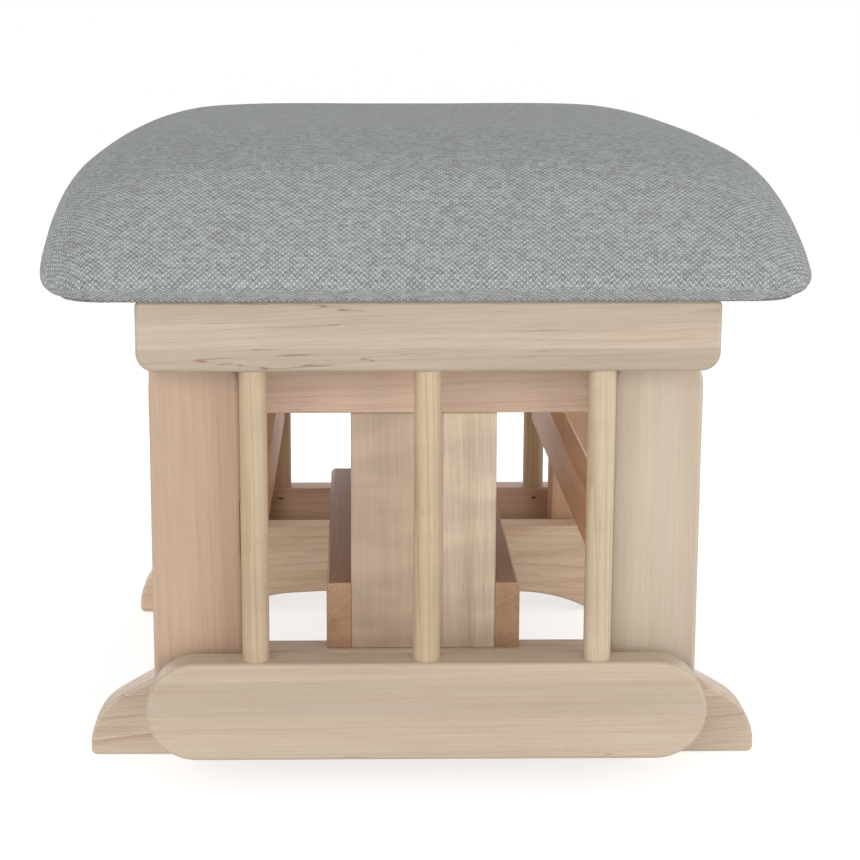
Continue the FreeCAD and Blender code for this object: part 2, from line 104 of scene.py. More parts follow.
@dataclass
class Graph:
    """Short calls for building one node tree."""

    tree: Tree

    def add(self, kind: str, **values: object) -> bpy.types.Node:
        """Adds a node.

        Args:
            kind: The node's type name.
            **values: Its properties.

        Returns:
            The new node.
        """
        node = self.tree.nodes.new(kind)
        for name, value in values.items():
            setattr(node, name, value)
        return node

    def feed(self, socket: Socket, value: object) -> None:
        """Links a socket to another one, or sets its value.

        Args:
            socket: The input to feed.
            value: An output socket, a number, a vector or a colour.
        """
        if isinstance(value, bpy.types.NodeSocket):
            self.tree.links.new(value, socket)
        else:
            socket.default_value = value

    def feed_all(self, node: bpy.types.Node, given: dict) -> bpy.types.Node:
        """Feeds a node's inputs.

        Args:
            node: The node.
            given: What each input gets, by number or by name, with underscores for spaces.

        Returns:
            The same node.
        """
        for key, value in given.items():
            self.feed(node.inputs[key.replace("_", " ") if isinstance(key, str) else key], value)
        return node

    def make(self, kind: str, given: dict, output: int | str = 0, **values: object) -> Socket:
        """Adds a node, feeds it and gives one of its outputs."""
        return self.feed_all(self.add(kind, **values), given).outputs[output]

    def group(self, tree: Tree, **given: object) -> bpy.types.NodeOutputs:
        """Adds a shader node group, feeds it and gives its outputs."""
        return self.feed_all(self.add("ShaderNodeGroup", node_tree=tree), given).outputs

    def axes(self, vector: object) -> bpy.types.NodeOutputs:
        """Splits a vector into its three numbers."""
        return self.feed_all(self.add("ShaderNodeSeparateXYZ"), {0: vector}).outputs

    def calc(self, operation: str, *values: object) -> Socket:
        """Adds a Math node on sockets or numbers."""
        return self.make("ShaderNodeMath", dict(enumerate(values)), operation=operation)

    def line(self, value: object, gain: float, start: float = 0.0) -> Socket:
        """A value times a gain, plus a start."""
        return self.calc("MULTIPLY_ADD", value, gain, start)

    def times(self, first: object, second: object) -> Socket:
        """The product of two values."""
        return self.calc("MULTIPLY", first, second)

    def plus(self, first: object, second: object) -> Socket:
        """The sum of two values."""
        return self.calc("ADD", first, second)

    def shift(self, vector: object, offset: object) -> Socket:
        """The sum of two vectors."""
        return self.make("ShaderNodeVectorMath", {0: vector, 1: offset}, operation="ADD")

    def scaled(self, vector: object, factor: object) -> Socket:
        """A vector or a colour times a number."""
        return self.make("ShaderNodeVectorMath", {0: vector, "Scale": factor}, operation="SCALE")

    def noise(
        self, vector: object, scale: Place, detail: float = 2.0, rough: float = 0.5,
        offset: Place = (0.0, 0.0, 0.0),
    ) -> Socket:
        """Adds a noise texture over a stretched vector.

        Args:
            vector: The vector's socket.
            scale: A factor for each axis.
            detail: The octaves.
            rough: The octaves' weight.
            offset: What is added to the stretched vector.

        Returns:
            The noise, from 0 to 1.
        """
        spread = {0: vector, 1: scale, 2: offset}
        place = self.make("ShaderNodeVectorMath", spread, operation="MULTIPLY_ADD")
        given = {"Vector": place, "Scale": 1.0, "Detail": detail, "Roughness": rough}
        return self.make("ShaderNodeTexNoise", given)

    def random(self, size: str, given: dict, output: str = "Value") -> Socket:
        """White noise of a number (1D) or a vector (2D)."""
        return self.make("ShaderNodeTexWhiteNoise", given, output, noise_dimensions=size)

    def ramp(self, value: object, low: float, high: float) -> Socket:
        """Smooth step from 0 at the low value to 1 at the high one."""
        given = {"Value": value, "From Min": low, "From Max": high}
        return self.make("ShaderNodeMapRange", given, interpolation_type="SMOOTHSTEP")

    def blend(self, factor: object, first: object, second: object) -> Socket:
        """Mixes two colours, by how much there is of the second."""
        given = {0: factor, 6: first, 7: second}
        return self.make("ShaderNodeMix", given, 2, data_type="RGBA", blend_type="MIX", clamp_factor=True)


def new_group(
    name: str, inputs: dict[str, str], outputs: dict[str, str], kind: str = "ShaderNodeTree",
) -> tuple[Graph, bpy.types.NodeOutputs, bpy.types.NodeInputs]:
    """Makes an empty node group.

    Args:
        name: The group's name.
        inputs: Each input's socket type by name.
        outputs: Each output's socket type by name.
        kind: The node tree's type.

    Returns:
        Its graph, what it is given and what it has to be fed.
    """
    tree = bpy.data.node_groups.new(name, kind)
    for direction, sockets in (("INPUT", inputs), ("OUTPUT", outputs)):
        for label, socket_type in sockets.items():
            tree.interface.new_socket(name=label, in_out=direction, socket_type=socket_type)
    graph = Graph(tree)
    return graph, graph.add("NodeGroupInput").outputs, graph.add("NodeGroupOutput").inputs


def maple_group() -> Tree:
    """Solid maple: growth rings, fibres, flecks, wavy figure and mineral streaks.

    Returns:
        The shader node group. Its vector is in metres, with the fibres along X.
    """
    graph, given, made = new_group(
        "Maple grain",
        {
            "Vector": VECTOR, "Tone": COLOUR, "Late Wood": COLOUR, "Streak Colour": COLOUR,
            "Ring Size": NUMBER, "Ring Strength": NUMBER, "Figure": NUMBER, "Streaks": NUMBER,
        },
        {"Color": COLOUR, "Roughness": NUMBER, "Height": NUMBER},
    )
    place, late_wood, streak_colour = given["Vector"], given["Late Wood"], given["Streak Colour"]
    sway = graph.line(graph.noise(place, (3.2, 17.0, 17.0)), 0.02, -0.01)
    axes = graph.axes(place)
    across, deep = (graph.calc("POWER", graph.plus(axes[index], sway), 2.0) for index in (1, 2))
    ring = graph.calc("DIVIDE", graph.calc("SQRT", graph.plus(across, deep)), given["Ring Size"])
    varied = graph.random("1D", {"W": graph.calc("FLOOR", ring)})
    late = graph.times(graph.calc("POWER", graph.calc("FRACT", ring), 5.0), graph.plus(varied, 0.25))

    fibre = graph.noise(place, (9.0, 950.0, 950.0), 3.0, 0.6)
    band = graph.noise(place, (1.8, 75.0, 75.0), 3.0, 0.6)
    fleck = graph.ramp(graph.noise(place, (110.0, 1300.0, 1300.0), 1.0), 0.66, 0.78)
    colour = given["Tone"]
    for share, other in (
        (graph.times(late, given["Ring Strength"]), late_wood),
        (graph.line(graph.ramp(band, 0.42, 0.8), 0.5), late_wood),
        (graph.line(graph.ramp(fibre, 0.35, 0.75), 0.36), late_wood),
        (graph.line(fleck, 0.22), streak_colour),
    ):
        colour = graph.blend(share, colour, other)

    cloud = graph.line(graph.noise(place, (5.0, 16.0, 16.0)), 0.3, 0.85)
    wave = graph.ramp(graph.noise(place, (55.0, 17.0, 17.0)), 0.35, 0.68)
    shine = graph.times(graph.line(wave, 1.0, -0.5), given["Figure"])
    colour = graph.scaled(colour, graph.plus(cloud, shine))

    vein = graph.noise(place, (1.5, 46.0, 46.0), 4.0, 0.6, (7.3, 1.9, 4.1))
    vein = graph.ramp(graph.calc("ABSOLUTE", graph.line(vein, 1.0, -0.56)), 0.0, 0.007)
    patch = graph.ramp(graph.noise(place, (9.0, 30.0, 30.0), 1.0, offset=(2.2, 8.4, 3.7)), 0.45, 0.62)
    streak = graph.times(graph.times(graph.line(vein, -1.0, 1.0), patch), given["Streaks"])
    graph.feed(made["Color"], graph.blend(streak, colour, streak_colour))
    graph.feed(made["Roughness"], graph.line(fibre, 0.2, 0.36))
    graph.feed(made["Height"], graph.plus(fibre, graph.line(fleck, -0.6)))
    return graph.tree


def weave_group() -> Tree:
    """Heathered chevron weave: slanted stitches of light and dark yarn.

    Returns:
        The shader node group. Its vector is flat cloth, in metres.
    """
    graph, given, made = new_group(
        "Chevron weave",
        {"Vector": VECTOR, "Light": COLOUR, "Dark": COLOUR, "Column": NUMBER, "Row": NUMBER},
        {"Color": COLOUR, "Height": NUMBER},
    )
    cloth = given["Vector"]
    wobble = graph.line(graph.noise(cloth, (120.0, 120.0, 1.0)), 0.0012, -0.0006)
    axes = graph.axes(cloth)
    column = graph.calc("DIVIDE", graph.plus(axes[0], wobble), given["Column"])
    row = graph.calc("DIVIDE", graph.plus(axes[1], wobble), given["Row"])
    part, whole = graph.calc("FRACT", column), graph.calc("FLOOR", column)
    odd = graph.calc("FLOORED_MODULO", whole, 2.0)
    rising = graph.plus(graph.times(part, graph.line(odd, 2.0, -1.0)), graph.line(odd, -1.0, 1.0))
    row = graph.plus(row, graph.line(rising, 0.8))
    pick = graph.calc("FLOOR", row)
    edge = graph.calc("POWER", graph.calc("ABSOLUTE", graph.line(part, 2.0, -1.0)), 3.0)
    stitch = graph.calc("SINE", graph.line(graph.calc("FRACT", row), math.pi))
    stitch = graph.times(stitch, graph.line(edge, -0.75, 1.0))
    cell = graph.make("ShaderNodeCombineXYZ", {0: graph.calc("FLOOR", graph.line(column, 0.6)), 1: pick})
    yarn = graph.random("2D", {"Vector": cell})
    streak = graph.noise(cloth, (60.0, 620.0, 1.0))
    every_other = graph.calc("FLOORED_MODULO", graph.plus(pick, whole), 2.0)
    dark = graph.plus(graph.line(yarn, 0.36), graph.line(streak, 0.62))
    dark = graph.ramp(graph.plus(graph.line(every_other, 0.46), dark), 0.05, 1.37)
    colour = graph.blend(dark, given["Light"], given["Dark"])
    # Each stitch is painted lighter along its middle and darker where it meets the next row and the next
    # column: painted shade in the gaps between stitches.
    graph.feed(made["Color"], graph.scaled(colour, graph.line(stitch, 0.42, 0.7)))
    graph.feed(made["Height"], stitch)
    return graph.tree


@dataclass
class Shader:
    """A new material with its Principled shader."""

    name: str
    material: Material = field(init=False)
    graph: Graph = field(init=False)

    def __post_init__(self) -> None:
        """Makes the material."""
        self.material = bpy.data.materials.new(self.name)
        self.material.use_nodes = True
        self.graph = Graph(self.material.node_tree)

    def place(self) -> Socket:
        """Object coordinates, which are the ottoman's own, in metres."""
        return self.graph.make("ShaderNodeTexCoord", {}, "Object")

    def finish(self, height: object, depth: float, strength: float, **given: object) -> Material:
        """Feeds the Principled shader, with a height as its bump.

        Args:
            height: The height's socket.
            depth: What a height of 1 stands for, in metres.
            strength: The bump's strength.
            **given: The shader's inputs by name, with underscores for spaces.

        Returns:
            The material.
        """
        bump = {"Height": height, "Distance": depth, "Strength": strength}
        given["Normal"] = self.graph.make("ShaderNodeBump", bump)
        self.graph.feed_all(self.material.node_tree.nodes["Principled BSDF"], given)
        return self.material


@dataclass(frozen=True)
class Maple:
    """Tone and grain of one maple board. Colours are sRGB from 0 to 255."""

    tone: Place
    grain: Grain
    seed: float
    late: Place = (172, 138, 108)
    streak: Place = (138, 100, 74)
    ring: float = 0.0065
    rings: float = 0.5
    figure: float = 0.0
    streaks: float = 0.35
    tilt: float = 0.02
    second_tilt: float = 0.7
    relief: float = 0.00012
    pith: Point = (0.06, 0.05)
    strips: tuple[tuple[float, Place], ...] = ()
    strip_axis: int = 2

    def cut_from(self, graph: Graph, place: Socket) -> tuple[object, object]:
        """Tone and grain offset, which change at given lines: the glue lines of a board made up of strips,
        and on the beam the edges of its painted shade.

        Args:
            graph: The material's graph.
            place: The place's socket.

        Returns:
            The tone and the offset, as values or sockets.
        """
        tone: object = srgb(*self.tone)
        offset: object = (self.seed * 0.37, *self.pith)
        strip: object = self.seed
        for edge, strip_tone in self.strips:
            past = graph.calc("GREATER_THAN", graph.axes(place)[self.strip_axis], edge)
            strip = graph.plus(strip, past)
            tone = graph.blend(past, tone, srgb(*strip_tone))
        if self.strips:
            offset = graph.shift(graph.scaled(graph.random("1D", {"W": strip}, "Color"), 0.4), offset)
        return tone, offset

    def material(self, name: str, grain: Tree) -> Material:
        """Makes the board's material.

        Args:
            name: The material's name.
            grain: The maple grain group.

        Returns:
            The material.
        """
        shader = Shader(name)
        graph, place = shader.graph, shader.place()
        tone, offset = self.cut_from(graph, place)
        x, y, z = self.grain.value
        turn = {"Vector": place, "Rotation": (x, y + self.tilt, z + self.tilt * self.second_tilt)}
        along = graph.make("ShaderNodeVectorRotate", turn, rotation_type="EULER_XYZ")
        grained = graph.group(
            grain, Vector=graph.shift(along, offset), Tone=tone, Late_Wood=srgb(*self.late),
            Streak_Colour=srgb(*self.streak), Ring_Size=self.ring, Ring_Strength=self.rings,
            Figure=self.figure, Streaks=self.streaks,
        )
        return shader.finish(
            grained["Height"], self.relief, 0.5, Base_Color=grained["Color"],
            Roughness=grained["Roughness"], Coat_Weight=0.12, Coat_Roughness=0.35,
        )


@dataclass(frozen=True)
class SpindleMaple(Maple):
    """Maple of a row of turned spindles, which differ in tone and figure."""

    bright: Place = (207, 191, 164)

    def cut_from(self, graph: Graph, place: Socket) -> tuple[object, object]:
        """Tone and grain offset by the spindle's own numbers.

        Args:
            graph: The material's graph.
            place: The place's socket, which isn't needed here.

        Returns:
            The tone's and the offset's socket.
        """
        share, order = (
            graph.make("ShaderNodeAttribute", {}, "Fac", attribute_name=label)
            for label in ("tone_share", "cut_from")
        )
        along, depth = self.pith
        offset = {0: graph.line(order, 1.37), 1: graph.line(order, 0.031, along), 2: depth}
        tone = graph.blend(share, srgb(*self.tone), srgb(*self.bright))
        return tone, graph.make("ShaderNodeCombineXYZ", offset)


@dataclass(frozen=True)
class HeatherWeave:
    """The cushion's woven cover. Colours are sRGB from 0 to 255, sizes in metres."""

    light: Place = (197, 205, 207)
    dark: Place = (125, 121, 117)
    column: float = 0.00193
    row: float = 0.00165

    def material(self, weave: Tree) -> Material:
        """Makes the cover's material.

        Args:
            weave: The weave group.

        Returns:
            The material.
        """
        shader = Shader("heather_weave")
        graph = shader.graph
        woven = graph.group(
            weave, Vector=graph.make("ShaderNodeUVMap", {}, uv_map="Cloth"), Light=srgb(*self.light),
            Dark=srgb(*self.dark), Column=self.column, Row=self.row,
        )
        soft = graph.line(graph.noise(shader.place(), (14.0, 14.0, 14.0)), 0.08, 0.96)
        return shader.finish(
            woven["Height"], 0.0006, 0.7, Base_Color=graph.scaled(woven["Color"], soft), Roughness=0.92,
            Specular_IOR_Level=0.2, Sheen_Weight=0.15, Sheen_Roughness=0.5,
        )


@dataclass(frozen=True)
class Plywood:
    """The cushion board's birch plywood, with its plies on the edge."""

    ply: float = 0.0015

    def material(self, grain: Tree) -> Material:
        """Makes the board's material.

        Args:
            grain: The maple grain group.

        Returns:
            The material.
        """
        shader = Shader("birch_plywood")
        graph, place = shader.graph, shader.place()
        grained = graph.group(
            grain, Vector=graph.shift(place, (1.7, 0.4, 0.02)), Tone=srgb(214, 188, 152),
            Late_Wood=srgb(186, 150, 112), Streak_Colour=srgb(150, 110, 74), Ring_Size=0.011,
            Ring_Strength=0.4, Figure=0.0, Streaks=0.2,
        )
        number = graph.calc("FLOOR", graph.calc("DIVIDE", graph.axes(place)[2], self.ply))
        crossed = graph.line(graph.calc("FLOORED_MODULO", number, 2.0), 0.3)
        return shader.finish(
            grained["Height"], 0.00015, 0.5,
            Base_Color=graph.blend(crossed, grained["Color"], srgb(150, 112, 78)),
            Roughness=graph.line(grained["Roughness"], 1.0, 0.2),
        )


@dataclass(frozen=True)
class Steel:
    """Turned or plated steel with fine brush marks. Its colour is sRGB from 0 to 255."""

    name: str
    colour: Place
    rough: float

    def material(self) -> Material:
        """Makes the steel's material.

        Returns:
            The material.
        """
        shader = Shader(self.name)
        graph, place = shader.graph, shader.place()
        marks = graph.noise(place, (900.0, 240.0, 900.0))
        dull = graph.line(graph.noise(place, (160.0, 160.0, 160.0)), 0.2, 0.9)
        return shader.finish(
            marks, 0.00002, 0.4, Base_Color=graph.scaled(srgb(*self.colour)[:3], dull),
            Roughness=graph.line(marks, 0.16, self.rough - 0.08), Metallic=1.0,
        )


@dataclass(frozen=True)
class Mottled:
    """Dull seal rubber or wood filler. Its colour is sRGB from 0 to 255."""

    name: str
    colour: Place
    rough: float

    def material(self) -> Material:
        """Makes the dull material.

        Returns:
            The material.
        """
        shader = Shader(self.name)
        mottle = shader.graph.noise(shader.place(), (700.0, 700.0, 700.0))
        colour = shader.graph.scaled(srgb(*self.colour)[:3], shader.graph.line(mottle, 0.5, 0.75))
        return shader.finish(mottle, 0.00004, 0.5, Base_Color=colour, Roughness=self.rough)


BEAM_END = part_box("base_beam")[1].y - 0.001
TONES = {
    "near_seat_rail": Maple(
        (187, 172, 154), Grain.X, 3.0, late=(166, 142, 118), streaks=0.9, rings=0.45, tilt=0.035,
        strips=((0.3196, (197, 181, 162)), (0.3368, (188, 173, 155)))),
    "far_seat_rail": Maple(
        (200, 174, 148), Grain.X, 11.0, streaks=0.5, rings=0.5, strips=((0.32, (205, 179, 152)),)),
    "near_lower_rail": Maple(
        (203, 187, 166), Grain.X, 21.0, late=(184, 154, 122), streaks=0.45, rings=0.3, tilt=0.012,
        strips=((0.0451, (197, 181, 161)), (0.0582, (195, 180, 160)), (0.0837, (202, 186, 165)))),
    "far_lower_rail": Maple(
        (204, 176, 152), Grain.X, 29.0, streaks=0.4,
        strips=((0.048, (198, 171, 148)), (0.071, (203, 175, 151)))),
    "near_left_link": Maple(
        (201, 174, 151), Grain.Z, 41.0, late=(182, 146, 118), rings=0.35, streaks=0.1),
    "near_right_link": Maple(
        (199, 187, 168), Grain.Z, 43.0, late=(190, 164, 136), rings=0.35, streaks=0.1),
    # The far left link's darker tone is painted shade, for the shadow this link sits in.
    "far_left_link": Maple((178, 138, 110), Grain.Z, 47.0, late=(162, 120, 90), rings=0.4, streaks=0.15),
    "far_right_link": Maple((200, 166, 136), Grain.Z, 53.0, late=(170, 128, 96), rings=0.4, streaks=0.15),
    # The stretchers' redder, more saturated tone is partly the maple's own colour and partly painted
    # shade: the reddish tint of the shadow between the links.
    "left_stretcher": Maple((210, 162, 125), Grain.Y, 60.0, late=(176, 126, 90), rings=0.6, streaks=0.2),
    "right_stretcher": Maple((210, 162, 125), Grain.Y, 62.0, late=(176, 126, 90), rings=0.6, streaks=0.2),
    "near_foot_rail": Maple(
        (218, 201, 180), Grain.X, 71.0, rings=0.55, ring=0.009, streaks=0.2, tilt=0.05),
    # The far foot rail's paler, pinker tone is painted light, for the light that reaches this rail from
    # behind and the sides.
    "far_foot_rail": Maple(
        (230, 206, 180), Grain.X, 73.0, late=(196, 160, 126), rings=0.6, ring=0.0048, streaks=0.15,
        tilt=0.07, pith=(0.03, 0.12)),
    "near_post": Maple(
        (205, 182, 161), Grain.Z, 83.0, late=(186, 155, 127), rings=0.2, figure=0.14, streaks=0.1,
        strips=((0.0144, (236, 218, 192)),), strip_axis=0),
    "far_post": Maple((205, 176, 150), Grain.Z, 89.0, rings=0.4, figure=0.1, streaks=0.1),
    # The near top rail's light tone is painted light. It makes up for the shade this rail sits in under
    # the seat rail.
    "near_top_rail": Maple(
        (226, 198, 175), Grain.X, 97.0, late=(198, 160, 132), rings=0.6, ring=0.005, streaks=0.3),
    "far_top_rail": Maple((212, 180, 154), Grain.X, 101.0, rings=0.5, streaks=0.3),
    # The beam's body between its two end faces is painted darker than its end grain. This is painted shade
    # for the shadow under the cushion.
    "base_beam": Maple(
        (196, 158, 128), Grain.Y, 107.0, late=(150, 104, 74), rings=0.9, ring=0.0019, streaks=0.2,
        tilt=0.012, pith=(0.5, 0.45), strip_axis=1,
        strips=((-BEAM_END, (160, 120, 92)), (BEAM_END, (196, 158, 128)))),
    "left_cross_rail": Maple((188, 158, 130), Grain.Y, 126.0, rings=0.6, streaks=0.3),
    "right_cross_rail": Maple((188, 158, 130), Grain.Y, 128.0, rings=0.6, streaks=0.3),
}


def turn_points(centre: Point, radius: float, first: float, last: float, step: float = 6.0) -> Outline:
    """Points on an arc.

    Args:
        centre: The arc's centre.
        radius: Its radius.
        first: Its first angle in degrees.
        last: Its last angle in degrees.
        step: The largest angle between points.

    Returns:
        The points, both ends among them.
    """
    count = max(2, math.ceil(abs(last - first) / step) + 1)
    angles = np.radians(np.linspace(first, last, count))
    return [(centre[0] + radius * math.cos(a), centre[1] + radius * math.sin(a)) for a in angles]


def three_point_arc(start: Point, middle: Point, end: Point, count: int = 16) -> Outline:
    """Points on the circle through three points.

    Args:
        start: The first point.
        middle: A point between.
        end: The last point.
        count: How many points to give.

    Returns:
        The points from start to end.
    """
    a, b, c = (np.array(p, float) for p in (start, middle, end))
    centre = np.linalg.solve(np.array([b - a, c - a]) * 2, [b @ b - a @ a, c @ c - a @ a])
    radius = float(np.linalg.norm(a - centre))
    first, last = (math.atan2(*(p - centre)[::-1]) for p in (a, c))
    turn = (last - first + math.pi) % (2 * math.pi) - math.pi
    return [
        (centre[0] + radius * math.cos(first + turn * t), centre[1] + radius * math.sin(first + turn * t))
        for t in np.linspace(0, 1, count)
    ]


def rounded_rectangle(low: Point, high: Point, *radii: float) -> Outline:
    """Outline with four rounded corners.

    Args:
        low: The lowest corner.
        high: The highest corner.
        *radii: One radius for all corners, or those at lower left, lower right, upper right and
            upper left.

    Returns:
        The outline's points, counter-clockwise.
    """
    a, b, c, d = radii if len(radii) == 4 else radii * 4
    points: Outline = []
    for x, z, radius, first in (
        (low[0] + a, low[1] + a, a, 180), (high[0] - b, low[1] + b, b, 270),
        (high[0] - c, high[1] - c, c, 0), (low[0] + d, high[1] - d, d, 90),
    ):
        points += turn_points((x, z), radius, first, first + 90) if radius > 0 else [(x, z)]
    return points


def thinned(points: Outline, gap: float = 1e-5) -> Outline:
    """Outline without points that repeat the one before.

    Args:
        points: The outline's points.
        gap: The least distance between two points.

    Returns:
        The thinned outline.
    """
    kept: Outline = []
    for point in points:
        if not kept or math.dist(kept[-1], point) > gap:
            kept.append(point)
    if math.dist(kept[0], kept[-1]) <= gap:
        kept.pop()
    return kept


def drawn_in(points: Outline, distance: float) -> Outline:
    """Outline offset inwards.

    Args:
        points: A counter-clockwise outline.
        distance: How far it moves in.

    Returns:
        The offset outline, point for point.
    """
    ring = np.array(points)
    edges = np.roll(ring, -1, 0) - ring
    edges /= np.linalg.norm(edges, axis=1)[:, None]
    normals = np.stack([-edges[:, 1], edges[:, 0]], 1)
    before = np.roll(normals, 1, 0)
    both = (normals + before) / (1 + (normals * before).sum(1))[:, None]
    return [tuple(p) for p in ring + both * distance]


def placed(name: str, data: object) -> Piece:
    """Puts data into the scene as an object.

    Args:
        name: The object's name.
        data: Its mesh, camera or lamp.

    Returns:
        The new object.
    """
    obj = bpy.data.objects.new(name, data)
    bpy.context.scene.collection.objects.link(obj)
    return obj


def shade(obj: Piece, degrees: float = 28.0) -> Piece:
    """Shades a mesh smooth, apart from its sharp edges.

    Args:
        obj: The mesh object.
        degrees: The angle from which an edge is sharp.

    Returns:
        The same object.
    """
    obj.data.polygons.foreach_set("use_smooth", [True] * len(obj.data.polygons))
    obj.data.set_sharp_from_angle(angle=math.radians(degrees))
    return obj


def bake(obj: Piece) -> Piece:
    """Applies an object's modifiers.

    Args:
        obj: The object.

    Returns:
        The same object with its new mesh.
    """
    graph = bpy.context.evaluated_depsgraph_get()
    mesh = bpy.data.meshes.new_from_object(obj.evaluated_get(graph), depsgraph=graph)
    obj.modifiers.clear()
    obj.data = mesh
    return obj


def mesh_object(name: str, build: bmesh.types.BMesh) -> Piece:
    """Turns a bmesh into an object with outward normals.

    Args:
        name: The object's name.
        build: The bmesh, which is freed.

    Returns:
        The new object.
    """
    bmesh.ops.recalc_face_normals(build, faces=build.faces)
    mesh = bpy.data.meshes.new(name)
    build.to_mesh(mesh)
    build.free()
    return placed(name, mesh)


def skinned(name: str, rings: list[list[Place]], closed: bool = False) -> Piece:
    """Skin over rings of points.

    Args:
        name: The object's name.
        rings: The rings, point for point. A ring of one point makes a pole.
        closed: Whether the last ring joins the first. If not, both ends are closed.

    Returns:
        The new object.
    """
    build = bmesh.new()
    made = [[build.verts.new(point) for point in ring] for ring in rings]
    for ring in () if closed else (made[0], made[-1]):
        if len(ring) > 1:
            build.faces.new(ring)
    for first, second in zip(made, made[1:] + (made[:1] if closed else [])):
        count = max(len(first), len(second))
        for here in range(count):
            after = (here + 1) % count
            corners = (
                first[here % len(first)], first[after % len(first)],
                second[after % len(second)], second[here % len(second)],
            )
            build.faces.new(list(dict.fromkeys(corners)))
    return mesh_object(name, build)


def board(name: str, outline: Outline, low: float, high: float, edge: float = 0.003) -> Piece:
    """Board with an XZ outline and rounded edges.

    Args:
        name: The object's name.
        outline: Its outline, counter-clockwise seen from -Y.
        low: Its lowest Y.
        high: Its highest Y.
        edge: The radius of its rounded edges.

    Returns:
        The new object.
    """
    outline = thinned(outline)
    steps = 6
    levels = [(edge * 1.2, 0.0)]
    for index in range(steps + 1):
        angle = math.pi / 2 * index / steps
        levels.append((edge * (1 - math.sin(angle)), edge * (1 - math.cos(angle))))
    levels.append((0.0, edge * 1.25))
    sections = [(inset, low + depth) for inset, depth in levels]
    sections += [(inset, high - depth) for inset, depth in reversed(levels)]
    rings = [[(x, y, z) for x, z in drawn_in(outline, inset)] for inset, y in sections]
    return shade(skinned(name, rings))


def turned(name: str, profile: Outline, segments: int = 48, closed: bool = False) -> Piece:
    """Piece turned about +Z.

    Args:
        name: The object's name.
        profile: Radius and height of each ring. A negative radius makes a hexagonal ring.
        segments: Points in each ring.
        closed: Whether the profile is the closed section of a ring.

    Returns:
        The new object.
    """
    rings = []
    for radius, height in profile:
        ring = []
        for index in range(segments if radius else 1):
            angle = 2 * math.pi * index / segments
            reach = radius
            if radius < 0:
                part = (angle + math.pi / 6) % (math.pi / 3) - math.pi / 6
                reach = -radius * math.cos(math.pi / 6) / math.cos(part)
            ring.append((reach * math.cos(angle), reach * math.sin(angle), height))
        rings.append(ring)
    return shade(skinned(name, rings, closed))


def cut(obj: Piece, cutters: list[Piece]) -> Piece:
    """Cuts shapes out of a mesh and removes the cutters.

    Args:
        obj: The object to cut.
        cutters: What is cut out.

    Returns:
        The same object with its new mesh.
    """
    for cutter in cutters:
        modifier = obj.modifiers.new("cut", "BOOLEAN")
        modifier.operation = "DIFFERENCE"
        modifier.solver = "EXACT"
        modifier.object = cutter
    bake(obj)
    for cutter in cutters:
        bpy.data.objects.remove(cutter)
    return shade(obj)


def box_cutter(low: Place, high: Place) -> Piece:
    """Plain box for cutting.

    Args:
        low: Its lowest corner.
        high: Its highest corner.

    Returns:
        The box.
    """
    build = bmesh.new()
    bmesh.ops.create_cube(build, size=1.0)
    for vert in build.verts:
        vert.co = Vector((a + b) / 2 + (b - a) * v for a, b, v in zip(low, high, vert.co))
    return mesh_object("cutter", build)


def rod_cutter(x: float, z: float, low: float, high: float, radius: float) -> Piece:
    """Rod along Y for cutting a hole through a board.

    Args:
        x: Its centre's X.
        z: Its centre's Z.
        low: The board's lowest Y.
        high: The board's highest Y.
        radius: The hole's radius.

    Returns:
        The rod.
    """
    low, high = low - CUTTER_REACH, high + CUTTER_REACH
    rod = turned("cutter", [(0, low), (radius, low), (radius, high), (0, high)], 64)
    rod.data.transform(Matrix.Translation((x, 0, z)) @ Matrix.Rotation(-math.pi / 2, 4, "X"))
    return rod


def middle_of(node: str) -> Vector:
    """Middle of a CAD node's box."""
    return (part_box(node)[0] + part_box(node)[1]) / 2


def numbers(items: object, label: str, width: int = 1, kind: type = float) -> np.ndarray:
    """Reads a number, or a few, of each item of a mesh.

    Args:
        items: The mesh's vertices, edges, loops, polygons or normals.
        label: The property's name.
        width: How many numbers an item has.
        kind: The numbers' type.

    Returns:
        One number or one row for each item.
    """
    values = np.zeros(len(items) * width, kind)
    items.foreach_get(label, values)
    return values.reshape(-1, width) if width > 1 else values


def set_points(obj: Piece, points: np.ndarray) -> None:
    """Moves an object's vertices to the rows of an array."""
    obj.data.vertices.foreach_set("co", points.ravel())
    obj.data.update()


def spread_over(mesh: bpy.types.Mesh, values: np.ndarray, rounds: int) -> np.ndarray:
    """Evens out values over a mesh's neighbouring vertices.

    Args:
        mesh: The mesh.
        values: One number, or one row of numbers, for each vertex.
        rounds: How often each vertex is drawn half way to its neighbours' average.

    Returns:
        The evened values.
    """
    first, second = numbers(mesh.edges, "vertices", 2, int).T
    size = len(values)
    count = np.bincount(first, minlength=size) + np.bincount(second, minlength=size)
    columns = values.reshape(size, -1).T.copy()
    for _ in range(rounds):
        for index, column in enumerate(columns):
            total = np.bincount(first, column[second], size) + np.bincount(second, column[first], size)
            columns[index] = (column + total / count) / 2
    return columns.T.reshape(values.shape)


